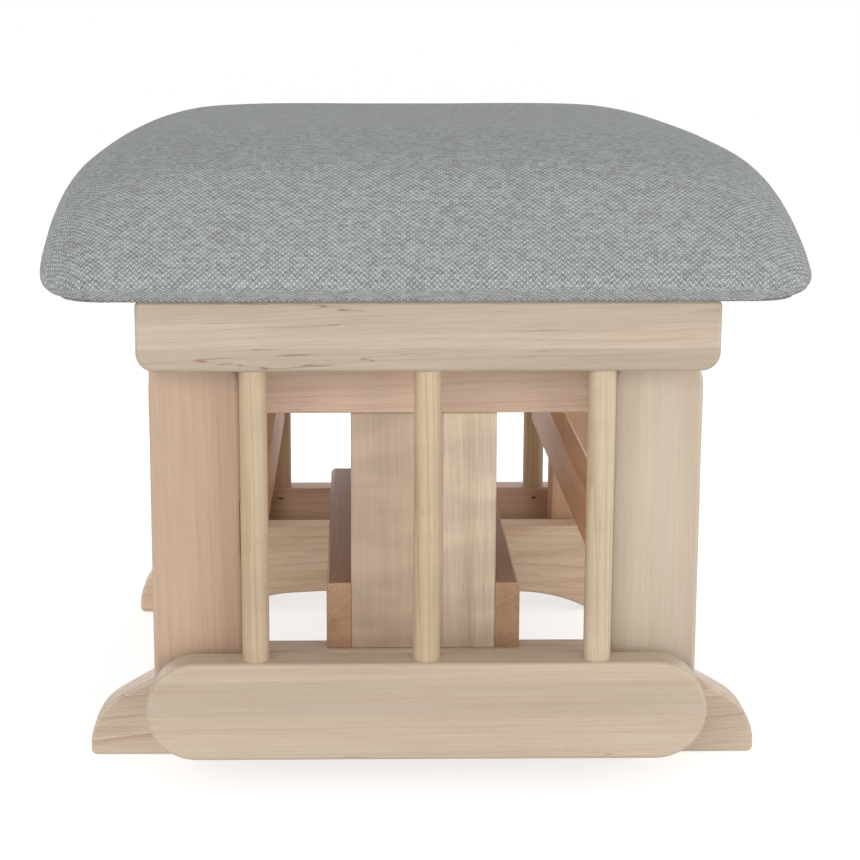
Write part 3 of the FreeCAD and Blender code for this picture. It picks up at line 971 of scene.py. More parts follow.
def copying_group() -> Tree:
    """Geometry Nodes group that sets a copy of a piece on each point.

    Returns:
        The group. Each copy's +Z follows the points' "facing", and it spins at random.
    """
    graph, given, made = new_group(
        "Copies on points",
        {
            "Points": "NodeSocketGeometry", "Piece": "NodeSocketObject", "Material": "NodeSocketMaterial",
            "Spin": NUMBER, "Seed": "NodeSocketInt",
        },
        {"Geometry": "NodeSocketGeometry"}, "GeometryNodeTree",
    )
    facing = graph.make("GeometryNodeInputNamedAttribute", {"Name": "facing"}, data_type="FLOAT_VECTOR")
    aligned = graph.make("FunctionNodeAlignRotationToVector", {"Vector": facing}, axis="Z")
    spin = graph.add("FunctionNodeRandomValue", data_type="FLOAT")
    least, most = [socket for socket in spin.inputs if socket.enabled and socket.type == "VALUE"][:2]
    graph.feed(least, 0.0)
    graph.feed(most, given["Spin"])
    graph.feed(spin.inputs["Seed"], given["Seed"])
    value = next(socket for socket in spin.outputs if socket.enabled)
    about = graph.make("FunctionNodeAxisAngleToRotation", {"Axis": (0, 0, 1), "Angle": value})
    turn = {"Rotation": aligned, "Rotate By": about}
    turn = graph.make("FunctionNodeRotateRotation", turn, rotation_space="LOCAL")
    piece = graph.make("GeometryNodeObjectInfo", {"Object": given["Piece"]}, "Geometry")
    copies = {"Points": given["Points"], "Instance": piece, "Rotation": turn}
    set_out = graph.make("GeometryNodeInstanceOnPoints", copies)
    real = graph.make("GeometryNodeRealizeInstances", {0: set_out})
    dressed = {"Geometry": real, "Material": given["Material"]}
    graph.feed(made[0], graph.make("GeometryNodeSetMaterial", dressed))
    return graph.tree


@dataclass
class Workshop:
    """What every sub-assembly shares: the grain, the steels and the ways of making a piece."""

    grain: Tree = field(default_factory=maple_group)
    copier: Tree = field(default_factory=copying_group)
    zinc: Material = field(default_factory=Steel("zinc_plate", (196, 198, 200), 0.3).material)
    steel: Material = field(default_factory=Steel("bearing_steel", (160, 162, 166), 0.25).material)
    seal: Material = field(default_factory=Mottled("seal_rubber", (38, 36, 36), 0.6).material)
    filler: Material = field(default_factory=Mottled("brad_filler", (92, 58, 40), 0.7).material)
    seed: int = 7

    def add(self, obj: Piece, body: str, slot: Slot, material: Material | None, *nodes: str) -> None:
        """Gives a piece its material and body, and hides the nodes that it stands for.

        Args:
            obj: The piece.
            body: The CAD body that it moves with.
            slot: The record's material slot; not used.
            material: Its material, or None where it has its own already.
            *nodes: CAD nodes that it replaces.
        """
        if material is not None:
            obj.data.materials.clear()
            obj.data.materials.append(material)
        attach(obj, body)
        if nodes:
            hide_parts(*nodes)
        log.info("%s rides on %s", obj.name, body)

    def wood(self, obj: Piece, body: str, node: str) -> None:
        """Finishes a piece in its node's maple, and lets it stand for the node."""
        self.add(obj, body, Slot.MAPLE, TONES[node].material(obj.name + "_maple", self.grain), node)

    def plank(
        self, node: str, body: str, radii: tuple[float, ...], edge: float = 0.003,
        holes: list[Point] | None = None, bore: float = 0.0,
    ) -> None:
        """Makes a board that fills a CAD node's box.

        Args:
            node: The CAD node.
            body: The body that it moves with.
            radii: Its outline's corner radii.
            edge: The radius of its rounded edges.
            holes: X and Z of the holes through it.
            bore: The holes' radius.
        """
        low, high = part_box(node)
        outline = rounded_rectangle((low.x, low.z), (high.x, high.z), *radii)
        obj = board(node + "_wood", outline, low.y, high.y, edge)
        if holes:
            cut(obj, [rod_cutter(x, z, low.y, high.y, bore) for x, z in holes])
        self.wood(obj, body, node)

    def copies(
        self, name: str, piece: Piece, places: list[Place], facing: Place | list[Place], body: str,
        slot: Slot, material: Material, *nodes: str, spin: float = 0.0,
        values: dict[str, list[float]] | None = None,
    ) -> None:
        """Sets copies of a small piece at places and makes one piece of them.

        Args:
            name: The object's name.
            piece: The piece to copy, with its outside along +Z. It is removed.
            places: Where each copy goes.
            facing: Where each copy's +Z points, or one way for all.
            body: The CAD body that they move with.
            slot: The record's material slot.
            material: The copies' material.
            *nodes: CAD nodes that they replace.
            spin: The largest random turn about +Z.
            values: Named numbers for each copy, for its material.
        """
        mesh = bpy.data.meshes.new(name)
        mesh.from_pydata(places, [], [])
        ways = facing if isinstance(facing, list) else [facing] * len(places)
        way = mesh.attributes.new("facing", "FLOAT_VECTOR", "POINT")
        way.data.foreach_set("vector", [part for one in ways for part in one])
        for label, row in (values or {}).items():
            mesh.attributes.new(label, "FLOAT", "POINT").data.foreach_set("value", row)
        obj = placed(name, mesh)
        modifier = obj.modifiers.new("copies", "NODES")
        modifier.node_group = self.copier
        given = {"Piece": piece, "Material": material, "Spin": spin, "Seed": self.seed}
        for socket in self.copier.interface.items_tree:
            if socket.in_out == "INPUT" and socket.name in given:
                modifier[socket.identifier] = given[socket.name]
        obj.update_tag()
        bake(obj)
        bpy.data.objects.remove(piece)
        self.add(shade(obj), body, slot, None, *nodes)

    def screws(self, name: str, places: list[Place], facing: Place, body: str) -> None:
        """Sets flush cross-recess screw heads, 9 mm across.

        Args:
            name: The object's name.
            places: Where each head goes.
            facing: Where the heads point.
            body: The CAD body that they move with.
        """
        head = turned("screw_head", [
            (0, -0.003), (0.0022, -0.003), (0.0044, -0.0003), (0.0045, 0.0), (0.0043, 0.0002), (0, 0.0004),
        ], 36)
        wide, long = 0.0005, 0.0024
        slots = [
            box_cutter((-x, -y, -0.0015), (x, y, 0.002)) for x, y in ((wide, long), (long, wide))
        ]
        self.copies(name, cut(head, slots), places, facing, body, Slot.ZINC, self.zinc, spin=1.5)


@dataclass
class SeatPanel:
    """One side of the hanging seat: two rails, three spindles and their brads."""

    side: str
    shop: Workshop
    rail_corner: float = 0.013
    rail_top_corner: float = 0.004
    tenon: float = 0.006
    brad_inset: float = 0.0095
    brad_stretch: float = 2.6

    def build(self) -> None:
        """Makes the panel."""
        seat, lower = self.side + "_seat_rail", self.side + "_lower_rail"
        big, small = self.rail_corner, self.rail_top_corner
        self.shop.plank(seat, "seat", (big, big, small, small))
        low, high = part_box(lower)
        self.shop.plank(lower, "seat", ((high.z - low.z) / 2,))
        self.spindles(high.z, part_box(seat)[0].z)
        self.brads(high.z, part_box(seat)[0].z)

    def spindles(self, bottom: float, top: float) -> None:
        """Makes the three spindles.

        Args:
            bottom: Top of the lower rail.
            top: Underside of the seat rail.
        """
        nodes = [self.side + "_" + word + "_spindle" for word in SPINDLES]
        low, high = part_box(nodes[0])
        radius = (high.x - low.x) / 2
        reach = (top - bottom) / 2 + self.tenon
        places = [(middle_of(node).x, middle_of(node).y, (top + bottom) / 2) for node in nodes]
        profile = [(0, -reach), (radius, -reach), (radius, 0), (radius, reach), (0, reach)]
        maple = SpindleMaple(
            (197, 175, 146), Grain.Z, 0.0, late=(180, 144, 108), streak=(120, 82, 54), ring=0.0042,
            rings=0.7, figure=0.05, tilt=0.012, second_tilt=5 / 6, relief=0.0001,
            pith=(0.03, {"near": 0.26, "far": 0.66}[self.side]),
        ).material(self.side + "_spindle_maple", self.shop.grain)
        shares = {"near": [0.35, 0.25, 1.0], "far": [0.2, 0.6, 0.4]}[self.side]
        self.shop.copies(
            self.side + "_spindles_wood", turned("spindle", profile, 64), places, (0, 0, 1), "seat",
            Slot.MAPLE, maple, *nodes, values={"tone_share": shares, "cut_from": [0.0, 1.0, 2.0]},
        )

    def brads(self, bottom: float, top: float) -> None:
        """Makes the filled brad marks on the inner faces.

        Args:
            bottom: Top of the lower rail.
            top: Underside of the seat rail.
        """
        sign = SIDES[self.side]
        low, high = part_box(self.side + "_seat_rail")
        face = high.y if sign < 0 else low.y
        mark = turned("brad", [(0, -0.0004), (0.0011, -0.0001), (0.001, 0.00004), (0, 0.00012)], 20)
        mark.data.transform(Matrix.Diagonal((self.brad_stretch, 1, 1, 1)))
        places = []
        for word in SPINDLES:
            x = middle_of(self.side + "_" + word + "_spindle").x
            places += [(x, face, bottom - self.brad_inset), (x, face, top + self.brad_inset)]
        self.shop.copies(
            self.side + "_brad_marks", mark, places, (0, -sign, 0), "seat", Slot.ZINC, self.shop.filler,
        )


@dataclass
class SwingPair:
    """Two links of one end, their stretcher and its screws."""

    end: str
    shop: Workshop
    stretcher_corner: float = 0.003
    stretcher_edge: float = 0.001

    def build(self) -> None:
        """Makes the pair."""
        body, stretcher = self.end + "_swing", self.end + "_stretcher"
        low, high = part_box(self.end + "_lower_bearings")
        bore, pivot_z = (high.z - low.z) / 2 + BORE_PLAY, (high.z + low.z) / 2
        for side in SIDES:
            node = side + "_" + self.end + "_link"
            low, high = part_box(node)
            hole = ((low.x + high.x) / 2, pivot_z)
            self.shop.plank(node, body, ((high.x - low.x) / 2,), holes=[hole], bore=bore)
        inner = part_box("far_" + self.end + "_link")[0].y
        self.shop.plank(stretcher, body, (self.stretcher_corner,), self.stretcher_edge)
        low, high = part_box(stretcher)
        sign = ENDS[self.end]
        face, reach = low.x if sign > 0 else high.x, (inner + high.y) / 2
        places = [(face, side * reach, (low.z + high.z) / 2) for side in SIDES.values()]
        self.shop.screws(stretcher + "_screw_heads", places, (-sign, 0, 0), body)


@dataclass
class Pivots:
    """Bearings and bolts of the eight pivots."""

    shop: Workshop
    half_width: float = 0.01255
    bore: float = 0.0061
    groove: float = 0.0004
    head: float = 0.009
    head_height: float = 0.004
    shank: float = 0.006
    socket: float = 0.0046
    bite: float = 0.017

    def bearings(self, node: str, body: str, places: list[Place]) -> None:
        """Makes one node's bearings.

        Args:
            node: The CAD node.
            body: The body that it moves with.
            places: The middle of each bearing.
        """
        low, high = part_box(node)
        outer = (high.z - low.z) / 2
        half, bore, groove = self.half_width, self.bore, self.groove
        shield, collar = outer - 0.0013, bore + 0.0011
        face = [
            (bore, half), (collar, half), (collar, half - groove), (shield, half - groove),
            (shield, half), (outer - groove, half), (outer, half - groove),
        ]
        section = face + [(radius, -height) for radius, height in reversed(face)]
        along = (0, 1, 0)
        self.shop.copies(
            node + "_steel", turned("bearing", section, closed=True), places, along, body, Slot.BEARING,
            self.shop.steel, node,
        )
        inside, outside, width = collar - 0.0001, shield + 0.0001, half - groove / 2
        section = [(inside, -width), (inside, width), (outside, width), (outside, -width)]
        self.shop.copies(
            node + "_seals", turned("seal", section, closed=True), places, along, body, Slot.BEARING,
            self.shop.seal,
        )

    def bolts(self, node: str, body: str, corners: Outline, face: float, z: float, length: float) -> None:
        """Makes one node's bolts.

        Args:
            node: The CAD node.
            body: The body that it moves with.
            corners: X of each bolt, and -1 or 1 for its side.
            face: How far from the middle the heads' undersides are.
            z: The bolts' height.
            length: The shank's length.
        """
        head, height, shank, socket = self.head, self.head_height, self.shank, self.socket
        bolt = turned("bolt", [
            (0, -length), (shank - 0.0008, -length), (shank, -length + 0.0008), (shank, 0),
            (head - 0.0003, 0), (head, 0.0003), (head, height - 0.0012), (head - 0.0004, height - 0.0004),
            (head - 0.0012, height), (socket, height), (-socket, height - 0.0002), (-socket, 0.0012),
            (0, 0.0009),
        ])
        places = [(x, side * face, z) for x, side in corners]
        self.shop.copies(
            node + "_zinc", bolt, places, [(0, -side, 0) for _, side in corners], body, Slot.ZINC,
            self.shop.zinc, node, spin=1.0,
        )

    def build(self) -> None:
        """Makes all the pivots."""
        low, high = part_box("upper_bearings")
        pivot_x = (high.x - low.x) / 2 - (high.z - low.z) / 2
        upper_z, lower_z = middle_of("upper_bearings").z, middle_of("left_lower_bearings").z
        post_y, link_y = middle_of("far_top_rail").y, middle_of("far_left_link").y
        post, link, panel = (
            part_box(node)[0].y for node in ("far_top_rail", "far_left_link", "far_lower_rail")
        )
        corners = [(end * pivot_x, side) for side in (-1, 1) for end in (-1, 1)]
        self.bearings("upper_bearings", "base", [(x, side * post_y, upper_z) for x, side in corners])
        for word, end in ENDS.items():
            pair, body = [(end * pivot_x, side) for side in (-1, 1)], word + "_swing"
            places = [(x, side * link_y, lower_z) for x, side in pair]
            self.bearings(word + "_lower_bearings", body, places)
            self.bolts(word + "_upper_pivot_bolts", body, pair, post, upper_z, link + self.bite - post)
        self.bolts("lower_pivot_bolts", "seat", corners, link, lower_z, panel + self.bite - link)


@dataclass
class Base:
    """Everything that stands still: foot rails, beam, posts and top rails."""

    shop: Workshop
    toe_start: float = 0.0075
    toe_radius: float = 0.044
    slope: float = 30.0
    shoulder: float = 0.06
    sole_corner: float = 0.004
    arch_length: float = 0.334
    arch_rise: float = 0.0205
    arch_flat: float = 0.204
    arch_sag: float = 0.003
    bend_share: float = 0.6
    bend_rise: float = 0.63
    post_width: float = 0.106
    top_corner: float = 0.012
    beam_corner: float = 0.004
    foot_edge: float = 0.0025
    top_edge: float = 0.0015
    post_edge: float = 0.0012
    beam_edge: float = 0.001
    screw_reach: float = 0.062

    def foot_outline(self, half: float, top: float) -> Outline:
        """Outline of a foot rail.

        Args:
            half: Half its length.
            top: Its height.

        Returns:
            The outline's points, counter-clockwise.
        """
        slope = math.radians(self.slope)
        toe = (half - self.toe_radius, self.toe_start)
        start = (toe[0] + self.toe_radius * math.sin(slope), toe[1] + self.toe_radius * math.cos(slope))
        shoulder_x = start[0] - (top - start[1]) / math.tan(slope)
        centre = (shoulder_x - self.shoulder * math.tan(slope / 2), top - self.shoulder)
        corner = self.sole_corner
        end, flat, rise = self.arch_length / 2, self.arch_flat / 2, self.arch_rise - self.arch_sag
        bend = (flat + self.bend_share * (end - flat), self.bend_rise * rise)
        right = turn_points((half - corner, corner), corner, -90, 0, 15)
        right += turn_points(toe, self.toe_radius, 0, 90 - self.slope, 3)
        right += turn_points(centre, self.shoulder, 90 - self.slope, 90, 3)
        left = [(-x, z) for x, z in reversed(right)]
        arch = three_point_arc((-end, 0), (-bend[0], bend[1]), (-flat, rise))
        arch += three_point_arc((-flat, rise), (0, self.arch_rise), (flat, rise), 24)
        arch += three_point_arc((flat, rise), bend, (end, 0))
        return right + left + arch

    def build(self) -> None:
        """Makes the base."""
        half = self.post_width / 2
        low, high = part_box("upper_bearings")
        bore = (high.z - low.z) / 2 + BORE_PLAY
        reach = (high.x - low.x) / 2 - bore + BORE_PLAY
        holes = [(end * reach, (low.z + high.z) / 2) for end in (-1, 1)]
        for side in SIDES:
            foot, top, post = (side + word for word in ("_foot_rail", "_top_rail", "_post"))
            low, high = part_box(foot)
            outline = self.foot_outline(high.x, high.z)
            sole = board(side + "_foot_wood", outline, low.y, high.y, self.foot_edge)
            self.shop.wood(sole, "base", foot)
            foot_top = high.z
            self.shop.plank(top, "base", (self.top_corner,), self.top_edge, holes, bore)
            low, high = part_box(top)
            outline = rounded_rectangle((-half, foot_top), (half, low.z), 0.0)
            self.shop.wood(board(post + "_wood", outline, low.y, high.y, self.post_edge), "base", post)
        self.beam(half)
        self.foot_screws()

    def beam(self, half: float) -> None:
        """Makes the beam with its notches for the posts.

        Args:
            half: Half the posts' width.
        """
        low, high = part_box("base_beam")
        corner = self.beam_corner
        outline = rounded_rectangle((low.x, low.z), (high.x, high.z), 0.0, 0.0, corner, corner)
        beam = board("base_beam_wood", outline, low.y, high.y, self.beam_edge)
        post_low, post_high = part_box("far_post")
        inner, outer = post_low.y, post_high.y + CUTTER_REACH
        bottom, top = low.z - CUTTER_REACH, high.z + CUTTER_REACH
        cut(beam, [
            box_cutter((-half, inner, bottom), (half, outer, top)),
            box_cutter((-half, -outer, bottom), (half, -inner, top)),
        ])
        self.shop.wood(beam, "base", "base_beam")

    def foot_screws(self) -> None:
        """Makes the screw heads under the foot rails."""
        middle, reach = middle_of("far_foot_rail").y, self.screw_reach
        radius = ((self.arch_flat / 2) ** 2 + self.arch_sag ** 2) / (2 * self.arch_sag)
        height = self.arch_rise - radius + math.sqrt(radius ** 2 - reach ** 2)
        places = [(end * reach, side * middle, height) for end in (-1, 1) for side in (-1, 1)]
        self.shop.screws("foot_screw_heads", places, (0, 0, -1), "base")


@dataclass
class Cushion:
    """The upholstered cushion: a crowned form, swelled as cloth, with pleats at its corners."""

    shop: Workshop
    corner: float = 0.046
    corner_limit: float = 0.9
    draw_in: float = 0.003
    draw_fade: float = 14.0
    draw_least: float = -1.3
    tuck: float = 0.010
    tuck_height: float = 0.013
    lean: float = 0.06
    dome: float = 0.006
    soften: float = 1.25
    shoulder: float = 13.0
    slant: float = 1.1
    rim_share: float = 0.3
    rim_spacing: float = 1.35
    rim_steps: int = 26
    height: float = 0.1085
    shrink: float = 0.001
    lift: float = 0.0002
    voxel: float = 0.006
    frames: int = 20
    held_height: float = 0.006
    swell_limit: float = 0.0075
    side_limit: float = 0.002
    sink_limit: float = 0.0006
    pleats: tuple[Point, ...] = ((-34.0, 0.0018), (0.0, 0.0014), (31.0, 0.0016))
    pleat_width: float = 0.0022
    pleat_height: float = 0.024
    side_fall: float = 0.85
    tuck_fall: float = 1.5
    hem_width: float = 0.03
    staple_inset: float = 0.022
    staple_step: float = 0.024
    staple_reach: int = 8
    flat_start: bool = field(default_factory=lambda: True)
    fabric: Material = field(default_factory=lambda: HeatherWeave().material(weave_group()))

    def sections(self, half: float) -> Outline:
        """Height and inset of each section, from the underside to the crown.

        Args:
            half: Half the cushion's length.

        Returns:
            The sections.
        """
        crown = self.height - self.tuck_height - self.dome
        made = []
        for angle in np.radians(np.linspace(0, 80, 8)):
            made.append((self.tuck_height * (1 - math.cos(angle)), self.tuck * (1 - math.sin(angle))))
        steps = range(self.rim_steps + 1)
        shares = [1 - self.rim_share * (k / self.rim_steps) ** self.rim_spacing for k in steps]
        shares += [0.6, 0.5, 0.4, 0.3, 0.2, 0.1]
        for share in shares:
            rise = (1 - share ** self.shoulder) ** (1 / self.slant)
            dome = 0.0 if self.flat_start else self.dome * (1 - share ** 2)
            made.append((self.tuck_height + crown * rise + dome, half * (1 - share)))
        return made

    def ring(self, half_x: float, half_y: float, inset: float) -> Outline:
        """One section's outline.

        Args:
            half_x: Half the cushion's length.
            half_y: Half its width.
            inset: How far the section is drawn in.

        Returns:
            The points, counter-clockwise seen from above.
        """
        share = (half_x - inset) / half_x
        corner = self.corner * share + half_x * share * (1 - share) * self.soften
        corner = min(corner, self.corner_limit * (half_y - inset))
        pull = self.draw_in * max(1 - (1 - share) * self.draw_fade, self.draw_least)
        points = []
        for turn in range(4):
            reach, across = (half_x, half_y) if turn % 2 == 0 else (half_y, half_x)
            reach, span = reach - inset, across - inset - corner
            flat = [(reach - pull * (1 - t * t), span * t) for t in np.linspace(-1, 1, 25)[:-1]]
            bend = turn_points((reach - corner, span), corner, 0, 90, 7.5)[:-1]
            angle = math.pi / 2 * turn
            points += [
                (x * math.cos(angle) - y * math.sin(angle), x * math.sin(angle) + y * math.cos(angle))
                for x, y in flat + bend
            ]
        return points

    def form(self, low: Vector, high: Vector) -> Piece:
        """The plain form that is swelled, with its crown leaning to the left.

        Args:
            low: The cushion's lowest corner.
            high: Its highest corner.

        Returns:
            The form.
        """
        half_x, half_y = (high.x - low.x) / 2 - self.shrink, (high.y - low.y) / 2 - self.shrink
        return skinned("cushion_cover", [
            [(x - self.lean * height, y, low.z + height) for x, y in self.ring(half_x, half_y, inset)]
            for height, inset in self.sections(half_x)
        ])

    def swell(self, obj: Piece, floor: float) -> None:
        """Swells the form as pressurised cloth, held along its underside.

        Args:
            obj: The cushion.
            floor: The height of its underside.
        """
        modifier = obj.modifiers.new("remesh", "REMESH")
        modifier.mode = "VOXEL"
        modifier.voxel_size = self.voxel
        bake(obj)
        start = spread_over(obj.data, numbers(obj.data.vertices, "co", 3), rounds=4)
        set_points(obj, start)
        normals = numbers(obj.data.vertex_normals, "vector", 3)
        held = obj.vertex_groups.new(name="held")
        held.add(np.flatnonzero(start[:, 2] < floor + self.held_height).tolist(), 1.0, "REPLACE")
        cloth = obj.modifiers.new("cloth", "CLOTH")
        for label, value in {
            "use_pressure": True, "uniform_pressure_force": 4.0, "tension_stiffness": 25.0,
            "compression_stiffness": 25.0, "shear_stiffness": 12.0, "bending_stiffness": 2.0,
            "vertex_group_mass": "held",
        }.items():
            setattr(cloth.settings, label, value)
        cloth.settings.effector_weights.gravity = 0.0
        cloth.collision_settings.use_collision = False
        scene = bpy.context.scene
        scene.frame_start, scene.frame_end = 1, self.frames
        for number in range(1, self.frames + 1):
            scene.frame_set(number)
        bake(obj)
        scene.frame_set(1)
        out = ((numbers(obj.data.vertices, "co", 3) - start) * normals).sum(1)
        log.info("cloth swelled by %.1f to %.1f mm", out.min() * 1000, out.max() * 1000)
        up = np.clip((normals[:, 2] - 0.75) / 0.25, 0, 1)
        kept = np.clip(out, -self.sink_limit, self.side_limit + (self.swell_limit - self.side_limit) * up)
        kept = spread_over(obj.data, kept, rounds=30)
        set_points(obj, start + normals * kept[:, None])
        obj.vertex_groups.clear()

    def finish_shape(self, obj: Piece, low: Vector, high: Vector) -> None:
        """Subdivides the cushion, keeps it in its room and presses in its corner pleats.

        Args:
            obj: The cushion.
            low: Its lowest corner.
            high: Its highest corner.
        """
        modifier = obj.modifiers.new("smooth", "SUBSURF")
        modifier.levels = modifier.render_levels = 1
        points = numbers(bake(obj).data.vertices, "co", 3)
        points[:, 2] = np.maximum(points[:, 2], low.z)
        fade = np.clip(1 - (points[:, 2] - low.z) / self.pleat_height, 0, 1)
        for end, side in ((-1, -1), (-1, 1), (1, -1), (1, 1)):
            middle = np.array([end * (high.x - self.corner), side * (high.y - self.corner)])
            for turn, depth in self.pleats:
                angle = math.atan2(side, end) + math.radians(turn)
                way = np.array([math.cos(angle), math.sin(angle)])
                offset = points[:, :2] - middle
                across = offset @ np.array([-way[1], way[0]])
                dent = depth * np.exp(-(across / self.pleat_width) ** 2) * fade * (offset @ way > 0.02)
                points[:, :2] -= way * dent[:, None]
        set_points(obj, points)

    def lay_cloth(self, obj: Piece, top: float) -> None:
        """Gives a piece its flat cloth coordinates, in metres.

        Args:
            obj: The cushion, or the hem below it.
            top: The height of the crown.
        """
        mesh = obj.data
        centres = np.abs(numbers(mesh.polygons, "center", 3))
        face = np.repeat(np.arange(len(centres)), numbers(mesh.polygons, "loop_total", 1, int))
        x, y, z = numbers(mesh.vertices, "co", 3)[numbers(mesh.loops, "vertex_index", 1, int)].T
        tuck = top - self.height + self.tuck_height
        drop = np.maximum(0.0, top - z) * self.side_fall + np.maximum(0.0, tuck - z) * self.tuck_fall
        side_on = centres[face, 0] > centres[face, 1]
        u = np.where(side_on, x + np.sign(x) * drop, x)
        v = np.where(side_on, y, y + np.sign(y) * drop)
        mesh.uv_layers.new(name="Cloth").data.foreach_set("uv", np.stack([u, v], 1).ravel())

    def build(self) -> None:
        """Makes the cushion."""
        low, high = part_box("cushion")
        low.z += self.lift
        cover = self.form(low, high)
        self.swell(cover, low.z)
        self.finish_shape(cover, low, high)
        self.lay_cloth(cover, high.z)
        shade(cover, 60)
        self.shop.add(cover, "seat", Slot.UPHOLSTERY, self.fabric, "cushion")
        self.hem(high.z)

    def hem(self, top: float) -> None:
        """Makes the cover's edge, turned under the board and stapled there.

        Args:
            top: The height of the crown.
        """
        low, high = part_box("cushion_board")
        width = self.hem_width
        rings = []
        for inset, z in (
            (-0.0012, 0.0006), (-0.0012, -0.0002), (-0.0006, -0.0006), (0.001, -0.0007),
            (width - 0.001, -0.0007), (width, -0.0003), (width, 0.0006),
        ):
            inner, outer = (low.x + inset, low.y + inset), (high.x - inset, high.y - inset)
            outline = rounded_rectangle(inner, outer, max(width - inset, 0.004))
            rings.append([(x, y, low.z + z) for x, y in outline])
        hem = skinned("cover_hem", rings, closed=True)
        self.lay_cloth(hem, top)
        self.shop.add(shade(hem), "seat", Slot.UPHOLSTERY, self.fabric)
        edge, height = high.x - self.staple_inset, low.z - 0.0009
        row = range(-self.staple_reach, self.staple_reach + 1)
        places = [(end * edge, k * self.staple_step, height) for end in (-1, 1) for k in row]
        outline = rounded_rectangle((-0.0006, -0.0005), (0.0006, 0.0003), 0.0002)
        self.shop.copies(
            "cover_staples", board("staple", outline, -0.005, 0.005, 0.0001), places, (0, 0, 1), "seat",
            Slot.ZINC, self.shop.zinc, spin=0.08,
        )


@dataclass
class Deck:
    """Cross rails and cushion board, whose CAD shapes are kept, and the board's screws."""

    shop: Workshop
    screw_y: float = 0.15

    def build(self) -> None:
        """Dresses the deck."""
        places = []
        for node in ("left_cross_rail", "right_cross_rail"):
            self.dress(node, TONES[node].material(node + "_maple", self.shop.grain))
            places += [(middle_of(node).x, y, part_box(node)[0].z) for y in (-self.screw_y, self.screw_y)]
        self.dress("cushion_board", Plywood().material(self.shop.grain))
        self.shop.screws("cushion_board_screw_heads", places, (0, 0, -1), "seat")

    def dress(self, node: str, material: Material) -> None:
        """Gives a CAD node its material.

        Args:
            node: The node.
            material: Its material.
        """
        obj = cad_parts[node]
        obj.data.materials.clear()
        obj.data.materials.append(material)
        log.info("%s keeps its shape", node)


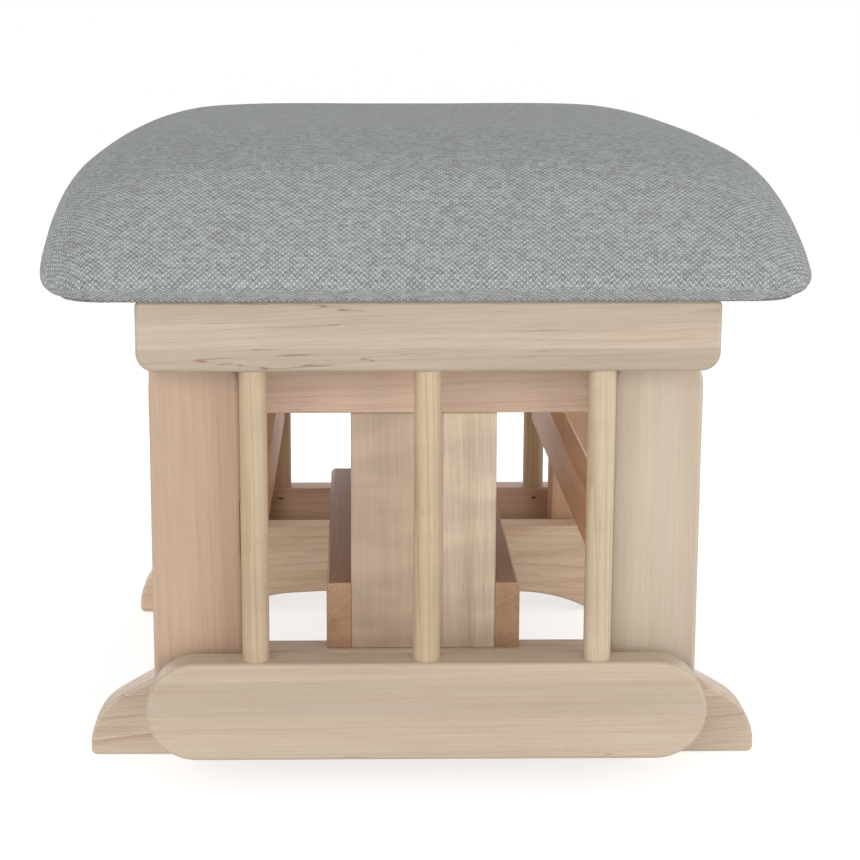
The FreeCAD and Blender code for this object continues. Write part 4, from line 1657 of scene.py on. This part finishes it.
@dataclass
class Studio:
    """Camera, lamps, world and floor."""

    position: Place = (-0.0509, -1.4720, 0.5529)
    pitch: float = 0.1762
    yaw: float = 0.0128
    focal_pixels: float = 1851.2
    frame_pixels: float = 860
    sensor: float = 36.0
    shift: Point = (0.0621, -0.12)
    ambient: float = 0.38
    glow: float = 2.5
    glow_from: float = 0.55
    glow_full: float = 1.15
    floor_reach: float = 6.0
    floor_drop: float = 0.0004
    lamps: tuple[tuple[str, Place, float, float, float], ...] = (
        ("key", (-0.9, -2.6, 1.0), 0.2, 1.6, 26.0),
        ("fill", (1.5, -2.2, 0.6), 0.2, 1.6, 18.0),
        ("left", (-2.2, -0.5, 0.7), 0.15, 1.2, 8.0),
        ("right", (2.2, -0.5, 0.7), 0.15, 1.2, 11.0),
        ("top", (0.3, 0.3, 2.4), 0.2, 1.4, 5.0),
        ("back_left", (-1.3, 2.4, 1.1), 0.2, 1.4, 14.0),
        ("back_right", (1.3, 2.4, 1.1), 0.2, 1.4, 14.0),
    )

    def camera(self) -> None:
        """Makes the camera at the photograph's angle."""
        data = bpy.data.cameras.new("camera")
        data.sensor_width = self.sensor
        data.lens = self.focal_pixels / self.frame_pixels * self.sensor
        data.shift_x, data.shift_y = self.shift
        data.clip_start, data.clip_end = 0.05, 50.0
        camera = placed("camera", data)
        camera.location = self.position
        camera.rotation_euler = (math.pi / 2 - self.pitch, 0.0, -self.yaw)
        bpy.context.scene.camera = camera

    def light(self) -> None:
        """Makes the soft square lamps: place, height aimed at, size in metres and power in watts."""
        for name, place, aim, size, power in self.lamps:
            data = bpy.data.lights.new(name, "AREA")
            data.shape = "SQUARE"
            data.size = size
            data.energy = power
            lamp = placed(name, data)
            lamp.location = place
            lamp.rotation_mode = "QUATERNION"
            lamp.rotation_quaternion = (Vector((0, 0, aim)) - Vector(place)).to_track_quat("-Z", "Y")

    def world(self) -> None:
        """Soft light all round, seen as white by the camera and in reflections."""
        world = bpy.data.worlds.new("studio")
        world.use_nodes = True
        bpy.context.scene.world = world
        graph = Graph(world.node_tree)
        path = graph.add("ShaderNodeLightPath").outputs
        seen = graph.calc("MAXIMUM", path["Is Camera Ray"], path["Is Transmission Ray"])
        seen = graph.calc("MAXIMUM", seen, graph.line(path["Is Glossy Ray"], 0.8))
        level = graph.calc("MAXIMUM", seen, self.ambient)
        back = world.node_tree.nodes["Background"]
        graph.feed_all(back, {"Color": (1.0, 1.0, 1.0, 1.0), "Strength": level})

    def floor(self) -> None:
        """Pale floor that keeps a part of the shadow, and glows white further away."""
        build = bmesh.new()
        bmesh.ops.create_grid(build, x_segments=1, y_segments=1, size=self.floor_reach)
        floor = mesh_object("floor", build)
        floor.data.transform(Matrix.Translation((0, 0, -self.floor_drop)))
        shader = Shader("floor")
        graph, nodes = shader.graph, shader.material.node_tree.nodes
        surface = graph.feed_all(nodes["Principled BSDF"], {
            "Base Color": (0.93, 0.93, 0.93, 1.0), "Roughness": 0.9, "Specular IOR Level": 0.0,
        })
        length = graph.make("ShaderNodeVectorMath", {0: shader.place()}, "Value", operation="LENGTH")
        away = graph.ramp(length, self.glow_from, self.glow_full)
        level = graph.line(away, 1.05 - self.glow, self.glow)
        seen = graph.add("ShaderNodeLightPath").outputs["Is Camera Ray"]
        mix = graph.make("ShaderNodeMixShader", {
            0: graph.times(seen, graph.line(away, 0.75, 0.25)), 1: surface.outputs[0],
            2: graph.make("ShaderNodeEmission", {"Strength": level}),
        })
        graph.feed(nodes["Material Output"].inputs["Surface"], mix)
        floor.data.materials.append(shader.material)

    def build(self) -> None:
        """Makes the studio."""
        bpy.context.scene.view_settings.view_transform = "Standard"
        self.camera()
        self.world()
        self.floor()
        self.light()


def main() -> None:
    """Builds the ottoman's looks and its studio."""
    logging.basicConfig(level=logging.INFO, format="%(message)s")
    Studio().build()
    shop = Workshop()
    Cushion(shop).build()
    for side in SIDES:
        SeatPanel(side, shop).build()
    for end in ENDS:
        SwingPair(end, shop).build()
    Base(shop).build()
    Deck(shop).build()
    Pivots(shop).build()
    log.info("the ottoman is dressed")


if __name__ == "__main__":
    main()
